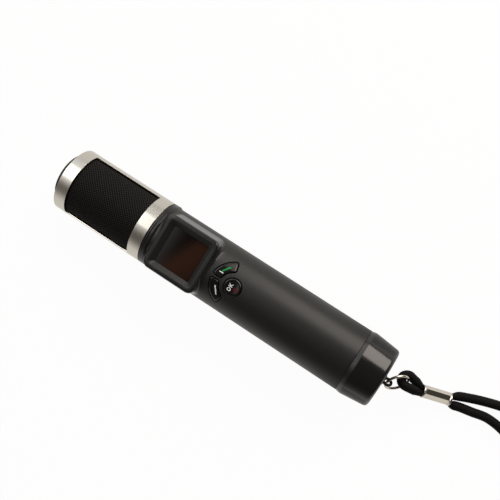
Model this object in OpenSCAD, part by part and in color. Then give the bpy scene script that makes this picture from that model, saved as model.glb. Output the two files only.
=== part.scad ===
// Handheld alcohol tester shaped like a torch: a metal cage with a fine black mesh at the head,
// a round grip in two moulded halves with a square display and three keys on top,
// and a screw-on tail cap that carries a swivel eye and a wrist cord.
// Millimetres. The long axis lies along X with the head at -X and the tail at +X.
// The display faces +Z, and Z = 0 is the table that the head rings rest on.

/* [Barrel] */
// Outside diameter of the round grip
barrel_d = 42; // [41:0.2:48]
// Wall of the two moulded halves
shell_wall = 2.2; // [1.8:0.1:2.6]
// Length of the two moulded halves, from the head cage to the tail cap
shell_len = 148; // [130:0.5:170]
// How far the collar, the cage rings and the display frame stand proud of the grip
ring_proud = 0.8; // [0.5:0.1:1.4]
// Length of the raised collar at the head end of the halves
collar_len = 4; // [2:0.1:5]
// Width of the shadow groove between the cage and the collar
shadow_w = 0.7; // [0.4:0.1:1.2]

/* [Head] */
// Length of the end ring of the cage
end_ring_len = 8.4; // [7.5:0.1:14]
// Length of the mesh window
window_len = 50.5; // [48:0.5:65]
// Length of the inner ring of the cage
neck_ring_len = 8.5; // [7:0.5:12]
// Wall of the cage
cage_wall = 1.5; // [1:0.1:2]
// Half angle of each mesh window, measured from straight up and straight down
window_half_angle = 73; // [60:1:78]
// Thickness of the mesh sleeve
mesh_t = 0.6; // [0.4:0.1:1]
// Diameter of the round boss on the nose cap
nose_d = 32; // [26:0.5:36]
// How far the boss on the nose cap stands out of the end ring
nose_proud = 4.4; // [2:0.1:6]
// Diameter of the sampling fan's frame
fan_d = 27.6; // [24:0.2:28]
// Axial length of the sampling fan's frame
fan_len = 8; // [7:0.5:10]
// Number of fan blades
fan_blades = 7; // [5:1:9]
// Diameter of the fan's fixed pin
fan_pin_d = 2; // [1.6:0.1:2.4]
// Diameter of the sensor cell
sensor_d = 16; // [12:0.5:20]
// Height of the sensor cell
sensor_len = 8; // [6:0.5:10]

/* [Display] */
// Distance from the head end of the halves to the middle of the display
display_x = 25.5; // [25:0.1:28]
// Length of the display frame along the barrel
frame_len = 38.4; // [38:0.1:40]
// Width of the display frame across the barrel
frame_w = 37.4; // [37:0.1:39]
// Round on the plan corners of the display frame
frame_corner_r = 5; // [3:0.5:7]
// Round on the top edge of the display frame
frame_edge_r = 1.6; // [0.8:0.1:2]
// How much wider the display frame is at its foot, each side
frame_draft = 1.4; // [0.6:0.1:1.8]
// Side of the square rim where the window's bevel starts
rim_side = 31.2; // [30.4:0.1:32]
// Side of the square of glass seen at the bottom of the bevel
window_side = 25.6; // [24:0.1:27]
// Depth of the glass below the top of the frame
window_depth = 2.9; // [2.4:0.1:3.4]
// Side of the square lens plate
lens_side = 29.2; // [28.2:0.1:29.8]
// Thickness of the lens plate
lens_t = 1.4; // [1:0.1:1.6]
// Thickness of the foam gasket under the lens
gasket_t = 0.5; // [0.3:0.1:0.8]
// Side of the square display module
module_side = 31.6; // [30.8:0.1:32]
// Thickness of the display module
module_t = 4.8; // [4.4:0.1:5]

/* [Keys] */
// Distance from the head end of the halves to the middle of the round key
key_x = 64; // [63.5:0.1:68]
// Diameter of the round key
key_d = 11.2; // [10:0.1:12]
// Inner radius of the two curved keys, about the round key's middle
arc_key_r_in = 9.2; // [8.8:0.1:9.8]
// Outer radius of the two curved keys
arc_key_r_out = 15.1; // [14:0.1:15.4]
// Angle that each curved key sweeps
arc_key_angle = 68; // [55:1:70]
// Gap between the two curved keys on the middle line
arc_key_gap = 2.2; // [2:0.1:3]
// Round on the corners of the curved keys
arc_key_round = 1.4; // [0.8:0.1:2]
// How far the keys stand proud of the grip
key_proud = 0.6; // [0.4:0.1:1]
// Gap round each key in its opening
key_gap = 0.3; // [0.25:0.05:0.4]
// Width of the lip that keeps each key in
key_lip = 0.7; // [0.6:0.05:0.75]
// How far a key goes down
key_travel = 0.8; // [0.5:0.1:1]

/* [Tail] */
// Length of the tail cap that shows
cap_len = 21.1; // [18:0.1:26]
// How far the cap's ridge stands proud of the grip
ridge_proud = 0.5; // [0.3:0.1:0.8]
// Length of the hollow flare from the grip up to the ridge
flare_len = 3; // [2:0.1:4]
// Diameter of the cap at its end, before the end is rounded
cap_end_d = 39.2; // [37:0.1:41]
// Round on the end of the cap
cap_round = 2.7; // [1:0.1:3]
// Length of the cap's threaded spigot
spigot_len = 15.4; // [13:0.1:16]
// Wall of the cap's spigot
spigot_wall = 1.7; // [1.4:0.1:2.2]
// Wall of the threaded sleeve in the barrel
sleeve_wall = 1.4; // [1.2:0.1:1.8]
// Section of the two sealing rings
seal_d = 1.6; // [1.2:0.1:1.8]
// Thickness of the cap's end wall
cap_end_t = 3; // [2.4:0.1:4]
// Radius of the swivel eye's ring, to the middle of its section
eye_ring_r = 2.5; // [2.4:0.1:2.8]
// Section of the swivel eye
eye_wire_d = 1.8; // [1.6:0.1:2]

/* [Inside] */
// Diameter of the battery cell
cell_d = 18.5; // [16:0.1:19]
// Length of the battery cell
cell_len = 65; // [60:0.5:68]
// Thickness of the circuit boards
board_t = 1.6; // [1:0.1:2]
// Width of the main board
board_w = 20; // [18:0.5:20]
// Gap between the end of the main board and the tail sleeve
board_setback = 9.3; // [4:0.1:16]
// Diameter of the shell screws
screw_d = 2.5; // [2:0.1:3]

/* [Strap] */
// Diameter of the wrist cord
cord_d = 6; // [5:0.1:6.4]
// Wire of the jump ring
ring_wire_d = 1.7; // [1.4:0.1:1.8]
// Radius of the jump ring, to the middle of its wire
ring_r = 7.2; // [6.8:0.1:8]
// Diameter of the crimped ferrule
ferrule_d = 8.2; // [7.8:0.1:9]
// Length of the crimped ferrule
ferrule_len = 19; // [14:0.5:20]

/* [Hidden] */
$fn = 96;
eps = 0.01;
slip = 0.05;
seat_gap = 0.1;

// Radii about the long axis
barrel_r = barrel_d / 2;
ring_r_out = barrel_r + ring_proud;
cage_r_in = ring_r_out - cage_wall;
bore_r = barrel_r - shell_wall;
axis_z = ring_r_out;
reach = 2 * barrel_d;

// Stations along the axis, with the middle of the whole object at X = 0
eye_flange_r = 3.2;
eye_flange_t = 0.8;
eye_slack = 0.2;
eye_sink = 1.6;
eye_tip = eye_slack + eye_flange_t + 2 * eye_ring_r + eye_wire_d - eye_sink;
total_len = nose_proud + end_ring_len + window_len + neck_ring_len + shell_len + cap_len + eye_tip;
x_nose = -total_len / 2;
x_end_ring = x_nose + nose_proud;
x_window = x_end_ring + end_ring_len;
x_neck = x_window + window_len;
x_shell = x_neck + neck_ring_len;
x_cap = x_shell + shell_len;
x_end = x_cap + cap_len;

// Levels above the axis, from the display frame down to the main board
top_z = ring_r_out;
lens_z = top_z - window_depth;
gasket_z = lens_z - lens_t;
module_z = gasket_z - gasket_t;
board_z = module_z - module_t;
window_land = 0.5;
rim_corner_r = 2.4;
window_corner_r = 0.6;
gasket_lap = 0.3;
frame_foot_z = sqrt(max(1, pow(barrel_r, 2) - pow(frame_w / 2 + frame_draft, 2)));
pocket_gap = 0.35;
x_display = x_shell + display_x;
x_key = x_shell + key_x;

// Keys, lips and switches
key_r_top = barrel_r + key_proud;
lip_drop = 0.3;
lip_r_top = bore_r - lip_drop;
lip_t = 1.2;
switch_side = 5;
switch_h = 2.4;
stem_d = 3;
well_d = 3.5;
stem_sink = 0.4;
well_spare = 0.3;
arc_stem_angle = 24;
arc_key_mid_r = (arc_key_r_in + arc_key_r_out) / 2;

// Head parts
core_spigot_len = 6;
core_bore_r = 5;
plug_len = 7;
plug_wall = 2;
mesh_r_out = cage_r_in - slip;
rail_gap = 0.2;
mesh_gap = 0.7;
rail_in = fan_d / 2 + rail_gap;
rail_out = mesh_r_out - mesh_t - mesh_gap;
rail_w = 8;
x_plug_in = x_end_ring + plug_len;
core_step = 0.2;
x_core = x_neck + core_step;
fan_setback = 14;
x_fan = x_window + fan_setback;
fan_wall = 1;
fan_tip_gap = 0.5;
fan_plate_t = 1.4;
fan_end_gap = 0.6;
fan_blade_t = 0.9;
fan_blade_slant = 42;
fan_hub_r = 5;
sensor_board_r = fan_d / 2;
post_len = 4;
post_r = 1.5;
x_sensor_board = x_core - post_len - board_t;
nose_round = 1;
nose_r = nose_d / 2;
seal_groove = seal_d - 0.1;

// Tail parts
sleeve_r_in = bore_r - slip - sleeve_wall;
thread_gap = 0.25;
spigot_r = sleeve_r_in - thread_gap;
spigot_r_in = spigot_r - spigot_wall;
sleeve_spare = 1.6;
sleeve_len = spigot_len + sleeve_spare;
contact_t = 0.8;
seal_inset = 0.3;
seal_r = bore_r + seal_inset;
stem_r = 2;
cap_contact_hole_r = 3;
ridge_land = 0.4;
eye_head_t = 1.2;
eye_head_lip = 1.4;

// Battery bay
cell_gap = 0.2;
cell_clear = 0.3;
front_contact_r = 6;
buzzer_d = 12;
buzzer_h = 4;
buzzer_from_key = 30;
cradle_wall = 1.4;
cradle_lip = 1;
cell_z = -(sleeve_r_in - cell_d / 2 - cell_clear);
x_cell_end = x_cap - spigot_len - contact_t - cell_clear;
x_cell = x_cell_end - cell_len;
x_board = x_display - module_side / 2;
board_len = x_cap - sleeve_len - board_setback - x_board;

// Screws and their bosses
boss_r = 2.75;
boss_inset = 1.4;
boss_y = bore_r - boss_r - boss_inset;
head_r = screw_d * 0.88;
head_h = 1.6;
head_gap = 0.2;
head_sink = 0.3;
hole_gap = 0.15;
socket_r = screw_d * 0.42;
socket_depth = 0.9;
screw_grip = 6;
seat_z = -sqrt(pow(barrel_r, 2) - pow(boss_y + head_r + head_gap, 2)) + head_h + head_sink;
boss_from_key = 16;
boss_from_sleeve = 4.25;
screw_x = [x_key + boss_from_key, x_cap - sleeve_len - boss_from_sleeve - boss_r];

// Strap, placed from the middle of the cap's end face
ring_across = [0.6, 0.8, 0];
eye_angle = 134;
ring_lean = 33;
bight_angle = -28;
eye_turn = -54;
ferrule_from = [23.6, 5.4, -10.5];
ferrule_to = [41.4, 9.5, 4.4 - axis_z];
// Wrist loop from one mouth of the ferrule round to the other: X and Y from the end face, Z above the table
wrist_points = [
    [40.8, 11.3, 4.5], [42.3, 12.3, 4.1], [44.6, 13.8, 3.5], [48.4, 15.5, 3.1], [58, 19.3, 3.1],
    [70, 22.9, 3.1], [84, 25, 3.1], [100, 24.8, 3.1], [118, 21.6, 3.1], [136, 16.6, 3.1],
    [150, 12, 3.1], [162, 7.4, 3.1], [171, 1.6, 3.1], [176.4, -6, 3.1], [177, -14.4, 3.1],
    [173, -22, 3.1], [165, -27.4, 3.1], [154, -29.2, 3.1], [140, -27, 3.1], [126, -20.6, 3.1],
    [114, -12, 3.1], [102, -2.6, 3.1], [90, 5.4, 3.1], [78, 10.4, 3.1], [66, 11.9, 3.1], [56, 9.9, 3.1],
    [48.6, 8.4, 3.1], [44.9, 7.35, 3.6], [42.9, 7.2, 4.1], [41.6, 7.6, 4.5]
];
strand_gap = 1.95;
strand_runs = [2.4, 5, 8];
strand_open = 0.6;
bend_ease = 1.05;
bight_gap = 0.35;
mouth_share = 0.62;
neck_share = 0.8;

// Lifts what is drawn about the axis to its height above the table
module seated() {
    translate([0, 0, axis_z]) children();
}

// Round bar along X
module rod(r, x0, x1) {
    translate([x0, 0, 0]) rotate([0, 90, 0]) cylinder(r = r, h = x1 - x0);
}

// Round tube along X
module pipe(r_out, r_in, x0, x1) {
    difference() {
        rod(r_out, x0, x1);
        rod(r_in, x0 - 1, x1 + 1);
    }
}

// Turns an outline of radius and X about the long axis
module turned() {
    rotate([0, 90, 0]) rotate_extrude() children();
}

// Ring of round section about the long axis
module seal_ring(r, section, x) {
    translate([x, 0, 0]) rotate([0, 90, 0]) rotate_extrude() translate([r, 0]) circle(d = section, $fn = 32);
}

// Box centred in X and Y
module block(x, y, z0, z1) {
    translate([-x / 2, -y / 2, z0]) cube([x, y, z1 - z0]);
}

// Half space above or below the parting plane
module half(up) {
    translate([-reach * 3, -reach, up ? 0 : -reach]) cube([reach * 6, reach * 2, reach]);
}

// Points of a quarter round in an outline
function quarter(cx, cy, r, from, steps = 6) =
    [for (i = [0:steps]) [cx + r * cos(from + 90 * i / steps), cy + r * sin(from + 90 * i / steps)]];

// Metal cage: two rings joined by a bar on each side
module head_cage() {
    color([0.80, 0.79, 0.77]) seated() difference() {
        pipe(ring_r_out, cage_r_in, x_end_ring, x_shell);
        for (side = [0, 180])
            rotate([side, 0, 0]) translate([x_window, 0, 0]) rotate([90, 0, 90])
                linear_extrude(window_len) polygon([
                    [0, 0],
                    [reach * sin(window_half_angle), reach * cos(window_half_angle)],
                    [0, reach],
                    [-reach * sin(window_half_angle), reach * cos(window_half_angle)]
                ]);
    }
}

// Fine mesh sleeve behind the windows
module intake_mesh() {
    color([0.13, 0.13, 0.12]) seated()
        pipe(mesh_r_out, mesh_r_out - mesh_t, x_plug_in + seat_gap, x_core - seat_gap);
}

// Black cap that closes the end ring, with a round boss that a sampling cup slips over
module nose_cap() {
    color([0.10, 0.10, 0.10]) seated() turned() polygon(concat(
        [[0, x_nose + plug_wall], [0, x_nose]],
        quarter(nose_r - nose_round, x_nose + nose_round, nose_round, -90),
        [
            [nose_r, x_end_ring],
            [mesh_r_out, x_end_ring],
            [mesh_r_out, x_plug_in],
            [mesh_r_out - plug_wall, x_plug_in],
            [mesh_r_out - plug_wall, x_end_ring + plug_wall],
            [nose_r - plug_wall, x_end_ring + plug_wall],
            [nose_r - plug_wall, x_nose + plug_wall]
        ]
    ));
}

// Carrier in the neck of the cage, with two rails that hold the fan
module head_core() {
    color([0.16, 0.16, 0.16]) seated() {
        difference() {
            union() {
                rod(mesh_r_out, x_core, x_shell);
                rod(bore_r - slip, x_shell - eps, x_shell + core_spigot_len);
            }
            rod(core_bore_r, x_core - 1, x_shell + core_spigot_len + 1);
            pipe(reach, bore_r - slip - seal_groove, x_shell + core_spigot_len / 2 - seal_d / 2,
                x_shell + core_spigot_len / 2 + seal_d / 2);
        }
        for (side = [-1, 1])
            translate([x_plug_in, side * (rail_in + rail_out) / 2 - (rail_out - rail_in) / 2, -rail_w / 2])
                cube([x_core - x_plug_in + eps, rail_out - rail_in, rail_w]);
        for (turn = [30, 150, 270])
            rotate([turn, 0, 0]) translate([0, sensor_board_r - 2 * post_r, 0])
                rod(post_r, x_core - post_len, x_core + eps);
    }
}

// Sealing ring between the carrier and the halves
module head_seal() {
    color([0.05, 0.05, 0.05]) seated()
        seal_ring(bore_r - slip - seal_groove / 2, seal_groove - 2 * slip, x_shell + core_spigot_len / 2);
}

// Round frame of the sampling fan with the fixed pin that its rotor turns on
module fan_frame() {
    x_plate = x_fan + fan_len - fan_plate_t;
    color([0.18, 0.18, 0.18]) seated() {
        pipe(fan_d / 2, fan_d / 2 - fan_wall, x_fan, x_fan + fan_len);
        rod(fan_hub_r, x_plate, x_fan + fan_len);
        rod(fan_pin_d / 2, x_fan + 1, x_plate + eps);
        for (turn = [0, 90, 180, 270])
            rotate([turn, 0, 0]) translate([x_plate, -1, fan_hub_r - 1])
                cube([fan_plate_t, 2, fan_d / 2 - fan_wall / 2 - fan_hub_r + 1]);
    }
}

// Fan rotor: a hub with slanted blades
module fan_rotor() {
    rotor_len = fan_len - fan_plate_t - 2 * fan_end_gap;
    x_rotor = x_fan + fan_end_gap;
    tip_r = fan_d / 2 - fan_wall - fan_tip_gap;
    color([0.28, 0.28, 0.28]) seated() difference() {
        union() {
            rod(fan_hub_r, x_rotor, x_rotor + rotor_len);
            intersection() {
                pipe(tip_r, fan_hub_r - 1, x_rotor, x_rotor + rotor_len);
                for (i = [0:fan_blades - 1])
                    rotate([360 * i / fan_blades, 0, 0])
                        translate([x_rotor + rotor_len / 2, 0, (tip_r + fan_hub_r) / 2])
                            rotate([0, 0, fan_blade_slant])
                                cube([rotor_len * 1.6, fan_blade_t, tip_r], center = true);
            }
        }
        rod(fan_pin_d / 2 + slip, x_fan, x_fan + fan_len);
    }
}

// Sensor cell in front of its board
module sensor_cell() {
    color([0.72, 0.70, 0.62]) seated() rod(sensor_d / 2, x_sensor_board - sensor_len, x_sensor_board);
}

// Round board of the sensor
module sensor_board() {
    color([0.10, 0.30, 0.18]) seated() rod(sensor_board_r, x_sensor_board, x_sensor_board + board_t);
}

// Plan of a rounded square, as corner posts for a hull
module corner_posts(x, y, r, z, h) {
    for (sx = [-1, 1], sy = [-1, 1])
        translate([sx * (x / 2 - r), sy * (y / 2 - r), z]) cylinder(r = r, h = h, $fn = 32);
}

// Solid of the display frame: a square pad with soft edges that widens towards its foot
module frame_solid() {
    ball_r = frame_corner_r - frame_edge_r;
    hull() {
        for (sx = [-1, 1], sy = [-1, 1])
            translate([sx * (frame_len / 2 - frame_corner_r), sy * (frame_w / 2 - frame_corner_r), 0])
                translate([0, 0, top_z - frame_edge_r]) rotate_extrude($fn = 32) {
                    translate([ball_r, 0]) intersection() {
                        circle(r = frame_edge_r, $fn = 24);
                        square(frame_edge_r);
                    }
                    square([ball_r, frame_edge_r]);
                }
        corner_posts(frame_len + 2 * frame_draft, frame_w + 2 * frame_draft, frame_corner_r,
            frame_foot_z, 0.5);
    }
}

// Window of the display frame: bevel, land and the seat of the lens
module frame_window() {
    seat = lens_side + 2 * pocket_gap;
    hull() {
        corner_posts(rim_side, rim_side, rim_corner_r, top_z, 1);
        corner_posts(window_side, window_side, window_corner_r, lens_z + window_land, eps);
    }
    block(window_side, window_side, lens_z - 1, lens_z + window_land + eps);
    block(seat, seat, module_z - 1, lens_z);
    block(module_side + 2 * pocket_gap, module_side + 2 * pocket_gap, 0, module_z);
}

// Plan of the round key
module round_key_plan(grow = 0) {
    circle(r = key_d / 2 + grow);
}

// Plan of a curved key on one side of the middle line
module arc_key_plan(side, grow = 0) {
    far = arc_key_r_out * 2;
    mirror([0, side < 0 ? 1 : 0]) offset(r = grow + arc_key_round, $fn = 32) offset(delta = -arc_key_round)
        intersection() {
            difference() {
                circle(r = arc_key_r_out);
                circle(r = arc_key_r_in);
            }
            polygon([
                [0, arc_key_gap / 2],
                [-far, arc_key_gap / 2],
                [-far * cos(arc_key_angle), far * sin(arc_key_angle)]
            ]);
        }
}

// Key body: its plan carried up to a crown that follows the grip, with a lip under the wall and a stem
module key_body(stem_at) {
    stem_foot = board_z + switch_h - stem_sink;
    translate([x_key, 0, 0]) {
        intersection() {
            linear_extrude(key_r_top + 1) children(0);
            pipe(key_r_top, lip_r_top - lip_t, -reach, reach);
        }
        intersection() {
            linear_extrude(key_r_top) children(1);
            pipe(lip_r_top, lip_r_top - lip_t, -reach, reach);
        }
        translate([stem_at[0], stem_at[1], stem_foot])
            cylinder(d = stem_d, h = sqrt(pow(lip_r_top - lip_t / 2, 2) - pow(stem_at[1], 2)) - stem_foot);
    }
}

// Place of a curved key's stem from the round key's middle
function arc_stem(side) =
    [-arc_key_mid_r * cos(arc_stem_angle), side * arc_key_mid_r * sin(arc_stem_angle)];

module key_ok() {
    color([0.09, 0.09, 0.10]) seated() key_body([0, 0]) {
        round_key_plan();
        round_key_plan(key_lip);
    }
}

module key_left() {
    color([0.09, 0.09, 0.10]) seated() key_body(arc_stem(-1)) {
        arc_key_plan(-1);
        arc_key_plan(-1, key_lip);
    }
}

module key_right() {
    color([0.09, 0.09, 0.10]) seated() key_body(arc_stem(1)) {
        arc_key_plan(1);
        arc_key_plan(1, key_lip);
    }
}

// Openings of the three keys
module key_openings() {
    translate([x_key, 0, 0]) linear_extrude(reach) {
        round_key_plan(key_gap);
        arc_key_plan(-1, key_gap);
        arc_key_plan(1, key_gap);
    }
}

// Outside of the grip: round barrel with a raised collar behind a shadow groove
module grip_solid() {
    rod(barrel_r, x_shell, x_cap);
    rod(ring_r_out, x_shell + shadow_w, x_shell + collar_len);
}

// Screw bosses, trimmed to the inside of the wall
module bosses() {
    intersection() {
        for (x = screw_x, side = [-1, 1])
            translate([x, side * boss_y, -reach / 2]) cylinder(r = boss_r, h = reach);
        rod(bore_r + 0.5, x_shell, x_cap);
    }
}

// Upper half: collar, display frame, key openings and the threaded ends of the bosses
module front_shell() {
    color([0.22, 0.22, 0.21]) seated() difference() {
        union() {
            difference() {
                union() {
                    grip_solid();
                    translate([x_display, 0, 0]) frame_solid();
                }
                rod(bore_r, x_shell - 1, x_cap + 1);
            }
            bosses();
        }
        half(false);
        translate([x_display, 0, 0]) frame_window();
        key_openings();
        for (x = screw_x, side = [-1, 1])
            translate([x, side * boss_y, -1]) cylinder(r = screw_d / 2 + slip, h = screw_grip + 2);
    }
}

// Lower half: plain round back with four sunk screw holes
module back_shell() {
    color([0.20, 0.20, 0.19]) seated() difference() {
        union() {
            difference() {
                grip_solid();
                rod(bore_r, x_shell - 1, x_cap + 1);
            }
            bosses();
        }
        half(true);
        for (x = screw_x, side = [-1, 1])
            translate([x, side * boss_y, 0]) {
                translate([0, 0, -reach]) cylinder(r = screw_d / 2 + hole_gap, h = reach + 1);
                translate([0, 0, -reach]) cylinder(r = head_r + head_gap, h = reach + seat_z);
            }
    }
}

// Four screws that hold the halves together
module shell_screws() {
    color([0.62, 0.62, 0.63]) seated()
        for (x = screw_x, side = [-1, 1])
            translate([x, side * boss_y, 0]) difference() {
                union() {
                    translate([0, 0, seat_z - head_h]) cylinder(r = head_r, h = head_h);
                    translate([0, 0, seat_z - eps]) cylinder(r = screw_d / 2, h = screw_grip - seat_z);
                }
                translate([0, 0, seat_z - head_h - 1]) cylinder(r = socket_r, h = 1 + socket_depth, $fn = 6);
            }
}

// Tinted plate over the display
module display_lens() {
    color([0.13, 0.08, 0.06]) seated() translate([x_display, 0, 0])
        block(lens_side, lens_side, gasket_z, lens_z);
}

// Foam frame between the plate and the module
module display_gasket() {
    color([0.06, 0.06, 0.06]) seated() translate([x_display, 0, 0]) difference() {
        block(lens_side, lens_side, module_z, gasket_z);
        block(window_side + 2 * gasket_lap, window_side + 2 * gasket_lap, module_z - 1, gasket_z + 1);
    }
}

// Display module, which sits on the main board
module display_module() {
    color([0.25, 0.27, 0.30]) seated() translate([x_display, 0, 0])
        block(module_side, module_side, board_z, module_z);
}

// Main board under the display and the keys
module main_board() {
    color([0.10, 0.30, 0.18]) seated()
        translate([x_board, -board_w / 2, board_z - board_t])
            cube([board_len, board_w, board_t]);
}

// Three press switches on the board, each with a well that a key's stem runs in
module key_switches() {
    color([0.14, 0.14, 0.15]) seated()
        for (place = [[0, 0], arc_stem(-1), arc_stem(1)])
            translate([x_key + place[0], place[1], 0]) difference() {
                block(switch_side, switch_side, board_z, board_z + switch_h);
                translate([0, 0, board_z + switch_h - stem_sink - key_travel - well_spare])
                    cylinder(d = well_d, h = switch_h);
            }
}

// Sounder on the underside of the board
module buzzer() {
    color([0.08, 0.08, 0.08]) seated()
        translate([x_key + buzzer_from_key, 0, board_z - board_t - buzzer_h])
            cylinder(d = buzzer_d, h = buzzer_h);
}

// Battery cell, low in the barrel
module battery_cell() {
    color([0.15, 0.32, 0.55]) seated() translate([0, 0, cell_z]) rod(cell_d / 2, x_cell, x_cell_end);
}

// Half-round cradle under the cell, with a front wall for its contact
module battery_cradle() {
    cradle_r = cell_d / 2 + cell_gap;
    color([0.12, 0.12, 0.12]) seated() translate([0, 0, cell_z]) {
        difference() {
            pipe(cradle_r + cradle_wall, cradle_r, x_cell - contact_t - cradle_wall,
                x_cap - sleeve_len - cell_gap);
            translate([0, 0, cradle_lip]) half(true);
        }
        difference() {
            rod(cradle_r + cradle_wall, x_cell - contact_t - cradle_wall, x_cell - contact_t);
            translate([0, 0, cell_d / 2]) half(true);
        }
    }
}

// Contact plate at the front of the cell
module front_contact() {
    color([0.75, 0.62, 0.30]) seated() translate([0, 0, cell_z])
        rod(front_contact_r, x_cell - contact_t, x_cell);
}

// Sleeve with the barrel's inside thread
module tail_sleeve() {
    color([0.30, 0.30, 0.30]) seated() pipe(bore_r - slip, sleeve_r_in, x_cap - sleeve_len, x_cap);
}

// Screw-on cap: flare, ridge, taper and rounded end outside, spigot and hollow inside
module tail_cap() {
    ridge_r = barrel_r + ridge_proud;
    end_r = cap_end_d / 2;
    groove_half = seal_d / 2 + slip;
    flare_steps = 6;
    flare = [for (i = [0:flare_steps])
        [barrel_r + ridge_proud * (1 - cos(90 * i / flare_steps)), x_cap + flare_len * i / flare_steps]];
    color([0.22, 0.22, 0.21]) seated() difference() {
        turned() polygon(concat(
            [
                [stem_r + slip, x_end - cap_end_t],
                [spigot_r_in, x_end - cap_end_t],
                [spigot_r_in, x_cap - spigot_len],
                [spigot_r, x_cap - spigot_len],
                [spigot_r, x_cap]
            ],
            flare,
            [[ridge_r, x_cap + flare_len + ridge_land]],
            quarter(end_r - cap_round, x_end - cap_round, cap_round, 0),
            [[stem_r + slip, x_end]]
        ));
        pipe(seal_r + groove_half, seal_r - groove_half, x_cap - 1, x_cap + 2 * groove_half);
    }
}

// Contact disc on the end of the cap's spigot
module cap_contact() {
    color([0.75, 0.62, 0.30]) seated()
        pipe(spigot_r - cell_clear, cap_contact_hole_r, x_cap - spigot_len - contact_t, x_cap - spigot_len);
}

// Sealing ring in the cap's face
module tail_seal() {
    color([0.05, 0.05, 0.05]) seated() seal_ring(seal_r, seal_d, x_cap + seal_d / 2 + slip);
}

// Swivel eye: a stem through the cap's end wall with a ring outside and a head inside
module strap_eye() {
    x_flange = x_end + eye_slack;
    color([0.06, 0.06, 0.06]) seated() {
        rod(stem_r, x_end - cap_end_t - eye_slack - eye_head_t, x_flange + eps);
        rod(stem_r + eye_head_lip, x_end - cap_end_t - eye_slack - eye_head_t, x_end - cap_end_t - eye_slack);
        rod(eye_flange_r, x_flange, x_flange + eye_flange_t);
        translate([x_end + eye_mid[0], 0, 0]) rotate([eye_turn, 0, 0])
            rotate_extrude() translate([eye_ring_r, 0]) circle(d = eye_wire_d, $fn = 32);
    }
}

// Small vector functions for the strap
function unit(v) = v / norm(v);
function from_end(p) = [x_end, 0, axis_z] + p;

// Axes of the jump ring, across and up with a small lean, and its middle, set so that it runs through the eye
ring_u = unit(ring_across);
ring_v = unit([0, 0, cos(ring_lean)] + sin(ring_lean) * [-ring_u[1], ring_u[0], 0]);
eye_mid = [eye_tip - eye_ring_r - eye_wire_d / 2, 0, 0];
ring_mid = eye_mid - ring_r * (cos(eye_angle) * ring_u + sin(eye_angle) * ring_v);
function on_ring(angle) = ring_mid + ring_r * (cos(angle) * ring_u + sin(angle) * ring_v);
function along_ring(angle) = -sin(angle) * ring_u + cos(angle) * ring_v;

// Lays children drawn about Z along the line from one point to another
module laid(from, to) {
    run = to - from;
    translate(from)
        rotate([0, acos(run[2] / norm(run)), atan2(run[1], run[0])]) children();
}

// Plain closed ring that links the eye to the cord
module jump_ring() {
    mid = from_end(ring_mid);
    color([0.80, 0.79, 0.76]) laid(mid, mid + cross(ring_u, ring_v))
        rotate_extrude() translate([ring_r, 0]) circle(d = ring_wire_d, $fn = 32);
}

// Crimped metal ferrule round the cord's two strands
module cord_ferrule() {
    from = from_end(ferrule_from);
    to = from_end(ferrule_to);
    color([0.82, 0.80, 0.76]) laid(from, from + ferrule_len * unit(to - from))
        cylinder(d = ferrule_d, h = ferrule_len);
}

// Ring of points round one station of a cord
function cord_ring(at, along, r, sides) =
    let (side = unit(cross([0, 0, 1], along)), up = cross(along, side))
    [for (k = [0:sides - 1]) at + r * (cos(360 * k / sides) * side + sin(360 * k / sides) * up)];

// Direction of a route at one of its points
function heading(path, i) =
    unit(path[min(i + 1, len(path) - 1)] - path[max(i - 1, 0)]);

// One closed tube along a route, with its own radius at each point and given end directions
module cord_tube(path, radii, first, last, sides = 10) {
    count = len(path);
    points = [for (i = [0:count - 1])
        each cord_ring(path[i], i == 0 ? first : i == count - 1 ? last : heading(path, i), radii[i], sides)];
    walls = [for (i = [0:count - 2], k = [0:sides - 1]) each [
        [i * sides + k, (i + 1) * sides + k, i * sides + (k + 1) % sides],
        [i * sides + (k + 1) % sides, (i + 1) * sides + k, (i + 1) * sides + (k + 1) % sides]
    ]];
    polyhedron(
        points = points,
        faces = concat(
            [[for (k = [0:sides - 1]) k]],
            walls,
            [[for (k = [0:sides - 1]) (count - 1) * sides + sides - 1 - k]]
        ),
        convexity = 6
    );
}

// Radii along a cord that is squeezed where it enters the ferrule
function squeezed(count) =
    [for (i = [0:count - 1]) let (near = min(i, count - 1 - i))
        cord_d / 2 * (near == 0 ? mouth_share : near == 1 ? neck_share : 1)];

// Bight of cord from the ferrule through the jump ring and back, with its bend square to the ring's wire
ferrule_dir = unit(ferrule_to - ferrule_from);
bight_mid = on_ring(bight_angle);
bight_reach = norm(ferrule_from - bight_mid);
bight_dir = (ferrule_from - bight_mid) / bight_reach;
ring_run = along_ring(bight_angle);
bend_dir = unit(bight_dir - (bight_dir * ring_run) * ring_run);
bight_side = unit(cross(ring_run, bight_dir));
mouth_side = unit(bight_side - (bight_side * ferrule_dir) * ferrule_dir);
bight_r = cord_d / 2 + ring_wire_d / 2 + bight_gap;
function bight_point(run, side) = from_end(bight_mid + run * bight_dir + side * bight_side);
function bight_strand(side) = [
    from_end(ferrule_from - slip * ferrule_dir + side * strand_gap * mouth_side),
    bight_point(bight_reach - strand_runs[0], side * (strand_gap + strand_open)),
    bight_point(bight_reach - strand_runs[1], side * (bight_r - bend_ease)),
    bight_point(bight_reach - strand_runs[2], side * (bight_r - bend_ease / 2))
];
bight_back = bight_strand(-1);
bight_bend = [for (a = [0:30:180])
    from_end(bight_mid - bight_r * sin(a) * bend_dir + bight_r * cos(a) * bight_side)];
bight_path = concat(bight_strand(1), bight_bend, [for (i = [3:-1:0]) bight_back[i]]);

module cord_bight() {
    color([0.07, 0.07, 0.07])
        cord_tube(bight_path, squeezed(len(bight_path)), -ferrule_dir, ferrule_dir);
}

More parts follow.
